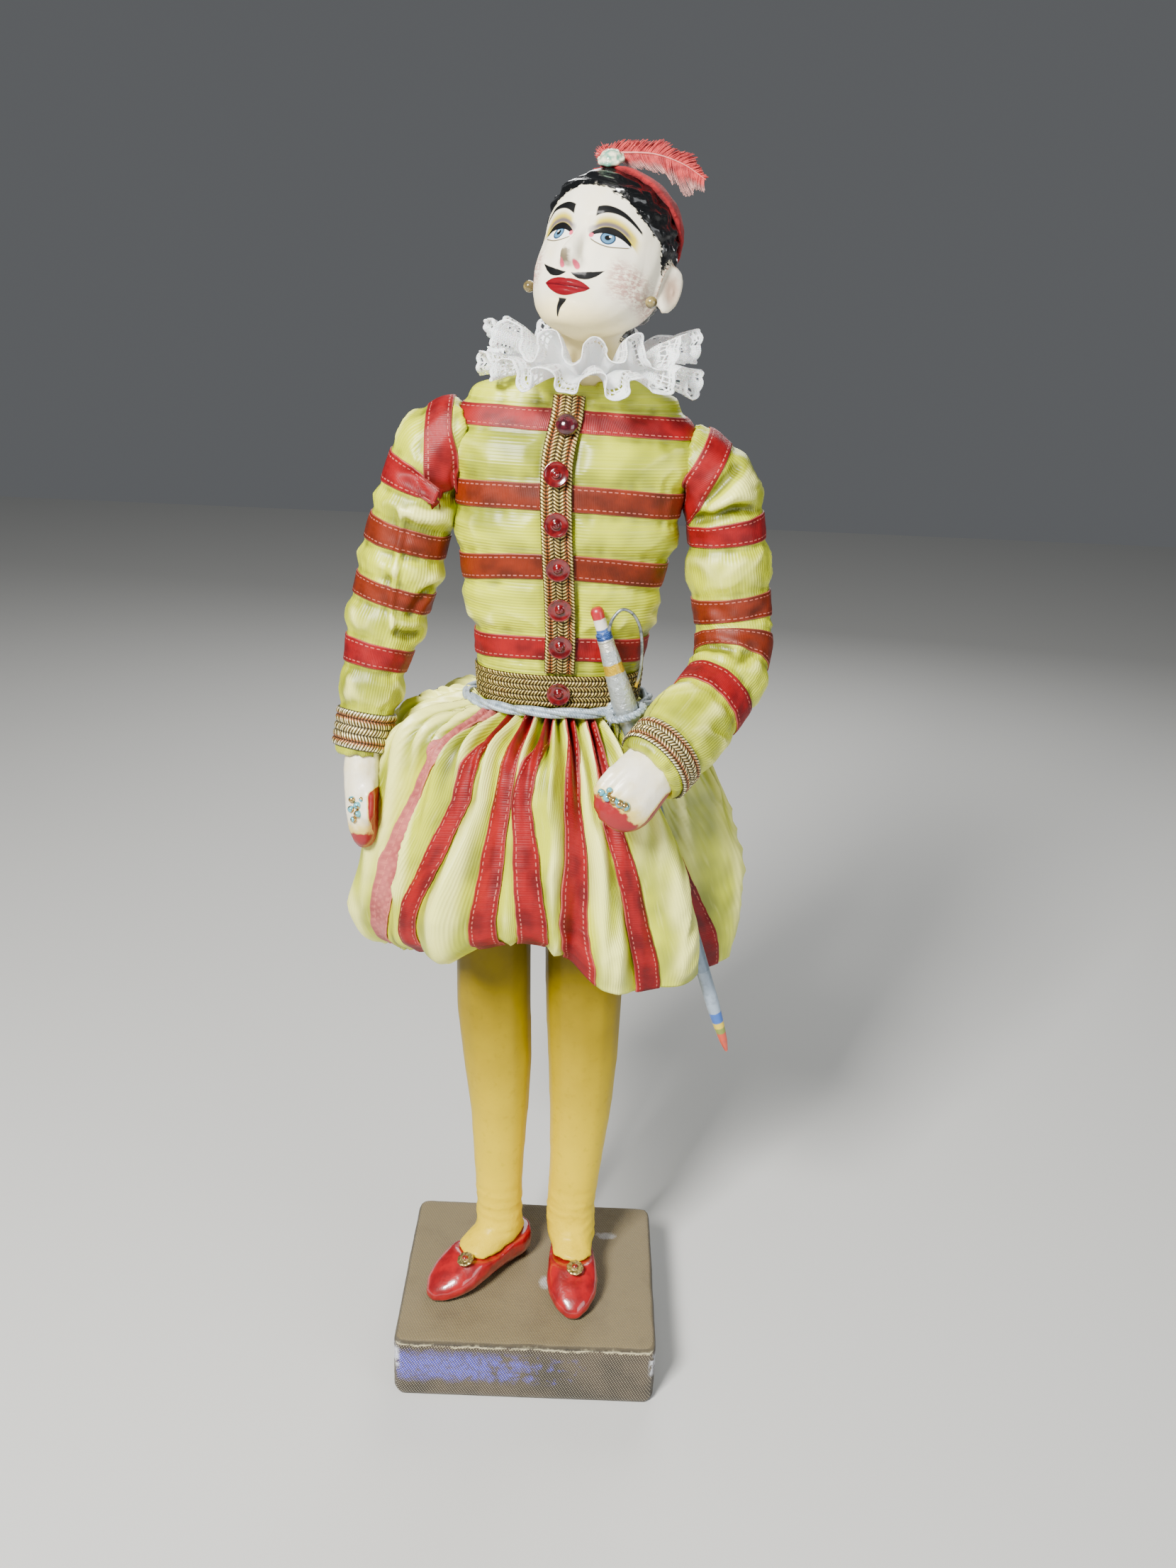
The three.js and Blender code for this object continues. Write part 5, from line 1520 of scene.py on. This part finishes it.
hands = {
    "skin": 0.45, "rounds": 10, "cream": paint("f2ead2"), "yellow": paint("d8bc10"), "red": paint("8c0812"),
    "grooves": {"right": [(-1.9, 0.2), (0.1, 0.25), (2.1, 0.2)],
                "left": [(-2.4, 0.15), (0, 0.2), (2.4, 0.15)]},
    # where the fingers point, the way across them, and the way to the painted edge
    "right": {"wrist": (-47.2, -4.6, 188), "tip": (-46.2, -9.4, 163.6), "across": (0.06, 0.97, -0.2),
              "edge": (1, -0.1, -0.1), "edgeAt": 3.4},
    "left": {"wrist": (29.4, -23.8, 199.4), "tip": (15.8, -35, 182), "across": (0.72, -0.52, -0.46),
             "edge": (0.25, -0.1, -1), "edgeAt": 4.2},
    "beadSize": 1.25,
    # glued beads: their places and radii, before that size
    "beads": {
        "right": [((-49, -12.9, 178.4), 0.75), ((-47.6, -13.4, 177), 0.85), ((-49.2, -13, 175.8), 0.8),
                  ((-47.4, -13.9, 174.9), 0.9), ((-48.5, -14, 173.4), 0.7), ((-46.4, -13.3, 178.7), 0.6)],
        "left": [((14.1, -35.6, 192), 0.75), ((15.6, -36.4, 191.1), 0.9), ((17.1, -37, 190.6), 0.85),
                 ((18.5, -37.4, 190.1), 0.9), ((19.8, -37.3, 189.4), 0.95), ((16, -35.9, 192.7), 0.65)],
    },
}


def handFinish():  # the grain layer is 0 at the wrist and 1 on the painted edge
    finish = Finish("paintedHand", coatWeight=0.25, coatRoughness=0.15)
    place = finish.spot()
    edge = finish.layer("grain")
    broad = finish.cloud(place, 4, 3)
    ragged = edge + (finish.cloud(place, 1.8, 3) - 0.5) * 0.14
    base = finish.mix(broad.above(0.4, 0.8) * 0.3, hands["cream"], hands["yellow"])
    base = finish.mix(ragged.above(0.62, 0.78) * 0.8, base, hands["yellow"])
    base = finish.mix(ragged.above(0.78, 0.82), base, hands["red"])
    finish.set("baseColor", base)
    finish.set("roughness", 0.32 + broad * 0.2)
    finish.relief(finish.cloud(place, 1.6, 3), 0.15)
    return finish


def beadFinish():
    finish = Finish("glassBeads", roughness=0.12, coatWeight=0.5)
    shade = finish.cloud(finish.spot(), 1.9, 1)
    finish.set("baseColor", finish.mix(shade.above(0.47, 0.53), paint("5fa7b4"), paint("b89a5a")))
    finish.set("metallic", shade.above(0.4, 0.5) * 0.8)
    return finish


def makeHands():
    painted, glass = handFinish(), beadFinish()
    for side in ("right", "left"):
        hand = hands[side]
        wrist, tip = Vector(hand["wrist"]), Vector(hand["tip"])
        down = (tip - wrist).normalized()
        length = (tip - wrist).length
        across = Vector(hand["across"]).normalized()
        outward = Vector(hand["edge"]).normalized()
        bm = evenSkin(solidCopy("hand_" + side), hands["skin"], hands["rounds"])

        def liftAt(co):
            off = co - wrist
            along, beside = off.dot(down) / length, off.dot(across)
            fingers = rise(along, 0.42, 0.6) * (1 - rise(along, 0.94, 1.02))
            groove = sum(deep * hill(beside, place, 0.6) for place, deep in hands["grooves"][side])
            return 0.15 - groove * fingers + 0.15 * noise.noise(co * 0.3)

        def edgeAt(co):
            off = co - wrist
            along = off.dot(down) / length
            beside = (off - down * off.dot(down)).dot(outward) / hand["edgeAt"]
            return max(along, beside * rise(along, 0.22, 0.4))

        displace(bm, liftAt)
        grainLayer(bm, edgeAt)
        finished("hand" + side.title(), bm, painted, ["hand_" + side])
        beads = bmesh.new()
        for place, radius in hands["beads"][side]:
            bmesh.ops.create_uvsphere(beads, u_segments=14, v_segments=9, radius=radius * hands["beadSize"],
                                      matrix=Matrix.Translation(Vector(place)))
        finished("beads" + side.title(), beads, glass)


makeHands()
print("hands painted")


sword = {
    "top": (11, -11.6, 230.8), "tip": (52.8, -10.4, 106.8),
    # radius and distance from the top, for the whole sword
    "profile": [(0, 0), (1, 0.15), (1.45, 0.6), (1.7, 1.4), (1.55, 3.5), (1.55, 6), (1.75, 8), (2.2, 12),
                (2.7, 19), (3.1, 25), (3.0, 27), (2.8, 29), (2.3, 33), (2.1, 38), (1.95, 60), (1.95, 100),
                (1.85, 115), (1.5, 122), (1.1, 127), (0.5, 130.2), (0, 130.9)],
    "guard": [(14.4, -14, 225.6), (15.2, -14.2, 228.6), (17.4, -13.8, 230.9), (20.2, -12.8, 229.6),
              (22.2, -11.8, 225.6), (22.9, -11.2, 219.6), (22.6, -10.8, 214), (21.8, -10.8, 210.8)],
    # the bound grip: radius, turns, where it starts, how long it is, and the thread's radius
    "binding": (1.86, 9, 6.6, 3.6, 0.2), "wire": 0.42,
    # from the pommel to the point: where each painted band starts, and its colour
    "bands": [(0, paint("a01420")), (3.1, paint("e4ded0")), (5.6, paint("33589c")), (8.3, paint("cfcdc2")),
              (11.2, paint("b9c0c0")), (14.6, paint("d0a800")), (17.2, paint("b4bbbb")),
              (30, paint("98a3a8")), (40, paint("7f90a0")), (104, paint("94a3b2")),
              (117.4, paint("2f5fae")), (120.7, paint("dcc02c")),
              (122.4, paint("7f8a34")), (124.2, paint("c8452a"))],
}


def swordFinish():
    finish = Finish("paintedSword", coatWeight=0.4, coatRoughness=0.15)
    x, y, z = finish.axes(finish.spot())
    top, tip = Vector(sword["top"]), Vector(sword["tip"])
    down = (tip - top).normalized()
    along = (x - top.x) * down.x + (y - top.y) * down.y + (z - top.z) * down.z
    grime = finish.cloud(finish.spot(), 1.8, 4, 0.6)
    along = along + (grime - 0.5) * 0.7
    base = sword["bands"][0][1]
    for start, colour in sword["bands"][1:]:
        base = finish.mix(along.above(start - 0.15, start + 0.15), base, colour)
    base = finish.mix(grime.above(0.5, 0.8) * 0.4, base, paint("4c4f52"))
    finish.set("baseColor", base)
    finish.set("metallic", along.above(6.8, 7.4) * along.below(108, 112) * 0.6)
    finish.set("roughness", 0.3 + grime * 0.25)
    crumple = finish.cloud(finish.spot(), 1.3, 3, 0.6) * along.near(20, 10, 3) * 5
    finish.relief(grime + crumple + along.wave(0.7) * along.near(8, 1.6, 0.3) * 2, 0.1)
    return finish


def guardFinish():
    finish = Finish("steelWire", metallic=0.8)
    grime = finish.cloud(finish.spot(), 1.2, 3)
    low = finish.axes(finish.spot())[2].below(211.5, 213.5)
    base = finish.mix(grime.above(0.4, 0.7), paint("9aa0a0"), paint("5c6264"))
    finish.set("baseColor", finish.mix(low, base, paint("c8a020")))
    finish.set("roughness", 0.3 + grime * 0.2)
    return finish


def makeSword():
    top, tip = Vector(sword["top"]), Vector(sword["tip"])
    bm = turnedForm(sword["profile"], 28)
    place = Matrix.Translation(top) @ (tip - top).to_track_quat("Z", "Y").to_matrix().to_4x4()
    radius, turns, start, length, thread = sword["binding"]

    def bindingAt(t):
        angle = t * turns * turn
        return radius * math.cos(angle), radius * math.sin(angle), start + length * t

    gather(bm, tube(bindingAt, lambda t: thread, 8, 220))
    bmesh.ops.transform(bm, matrix=place, verts=bm.verts)
    finished("paintedSword", bm, swordFinish(), ["sword"])
    guard = tube(lambda t: curvePoint(sword["guard"], t), lambda t: sword["wire"], 12, 90)
    finished("wireGuard", guard, guardFinish(), ["sword_guard"])


makeSword()
print("sword hung")


cord = {
    "waist": (2.3, 4.6, 203.2, 23.6, 15.6),  # its middle, half width and half depth
    "radius": 1.45, "strands": 3, "turns": 5,
    "alongSword": 28 / 131, "swordLoop": 4.35,  # where the sword hangs in it, and the radius there
    "knot": (17.2, -7.6, 203.6), "knotRadius": 1.7, "knotTurns": 3, "ends": 26,
    "silver": paint("b4c4d0"), "dark": paint("4c5f70"),
}


def cordFinish():
    finish = Finish("silverCord", metallic=0.35, sheenWeight=0.3)
    u, v, _ = finish.axes(finish.seam())
    fibres = (u * 1.4 + v * 3).wave(0.8)
    grime = finish.cloud(finish.spot(), 1.6, 3)
    worn = grime.above(0.4, 0.7) * 0.6 + fibres * 0.3
    finish.set("baseColor", finish.mix(worn, cord["silver"], cord["dark"]))
    finish.set("roughness", 0.38 + grime * 0.3)
    finish.relief(fibres, 0.06)
    return finish


def makeCord():
    x, y, z, wide, deep = cord["waist"]
    place = Vector(sword["top"]).lerp(Vector(sword["tip"]), cord["alongSword"])
    down = (Vector(sword["tip"]) - Vector(sword["top"])).normalized()
    side = down.orthogonal().normalized()
    up = down.cross(side)
    bm = bmesh.new()
    bm.loops.layers.uv.new("weave")

    def twisted(path, radius, turns, steps):  # a closed loop of twisted strands
        for k in range(cord["strands"]):
            def strandAt(t, k=k):
                along = (Vector(path((t + 0.002) % 1)) - Vector(path((t - 0.002) % 1))).normalized()
                sideways = Vector((0, 0, 1)).cross(along)
                if sideways.length < 0.2:
                    sideways = Vector((0, 1, 0)).cross(along)
                sideways.normalize()
                angle = turn * (turns * t + k / cord["strands"])
                swing = sideways * math.cos(angle) + along.cross(sideways) * math.sin(angle)
                return Vector(path(t)) + swing * radius * 0.52
            gather(bm, tube(strandAt, lambda t: radius * 0.5, 7, steps, True))

    def waistAt(t):
        return x + wide * math.cos(turn * t), y + deep * math.sin(turn * t), z

    def swordLoopAt(t):
        return place + (side * math.cos(turn * t) + up * math.sin(turn * t)) * cord["swordLoop"]

    twisted(waistAt, cord["radius"], cord["turns"], 420)
    twisted(swordLoopAt, 1, 6, 120)
    knot = Vector(cord["knot"])
    for k in range(cord["knotTurns"]):
        lean = Matrix.Rotation(k * 1.05, 3, "Y") @ Matrix.Rotation(0.5 + k * 0.8, 3, "X")

        def knotAt(t):
            radius = cord["knotRadius"]
            return knot + lean @ Vector((radius * math.cos(turn * t), radius * math.sin(turn * t),
                                         0.5 * math.sin(2 * turn * t)))
        twisted(knotAt, 0.85, 3, 60)
    for k in range(cord["ends"]):  # frayed
        away = Vector((random.uniform(-0.8, 0.9), random.uniform(-0.8, 0.1), random.uniform(-1, 0.2)))
        away.normalize()
        bend = Vector((random.uniform(-1, 1), random.uniform(-0.5, 0.2), random.uniform(-1.6, 0))) * 1.2
        reach = random.uniform(2, 3.6)
        gather(bm, tube(lambda t: knot + away * (1.6 + reach * t) + bend * t * t,
                        lambda t: 0.12 * (1 - 0.6 * t), 5, 8))
    finished("waistCord", bm, cordFinish(), ["waist_cord"])


makeCord()
print("cord knotted")
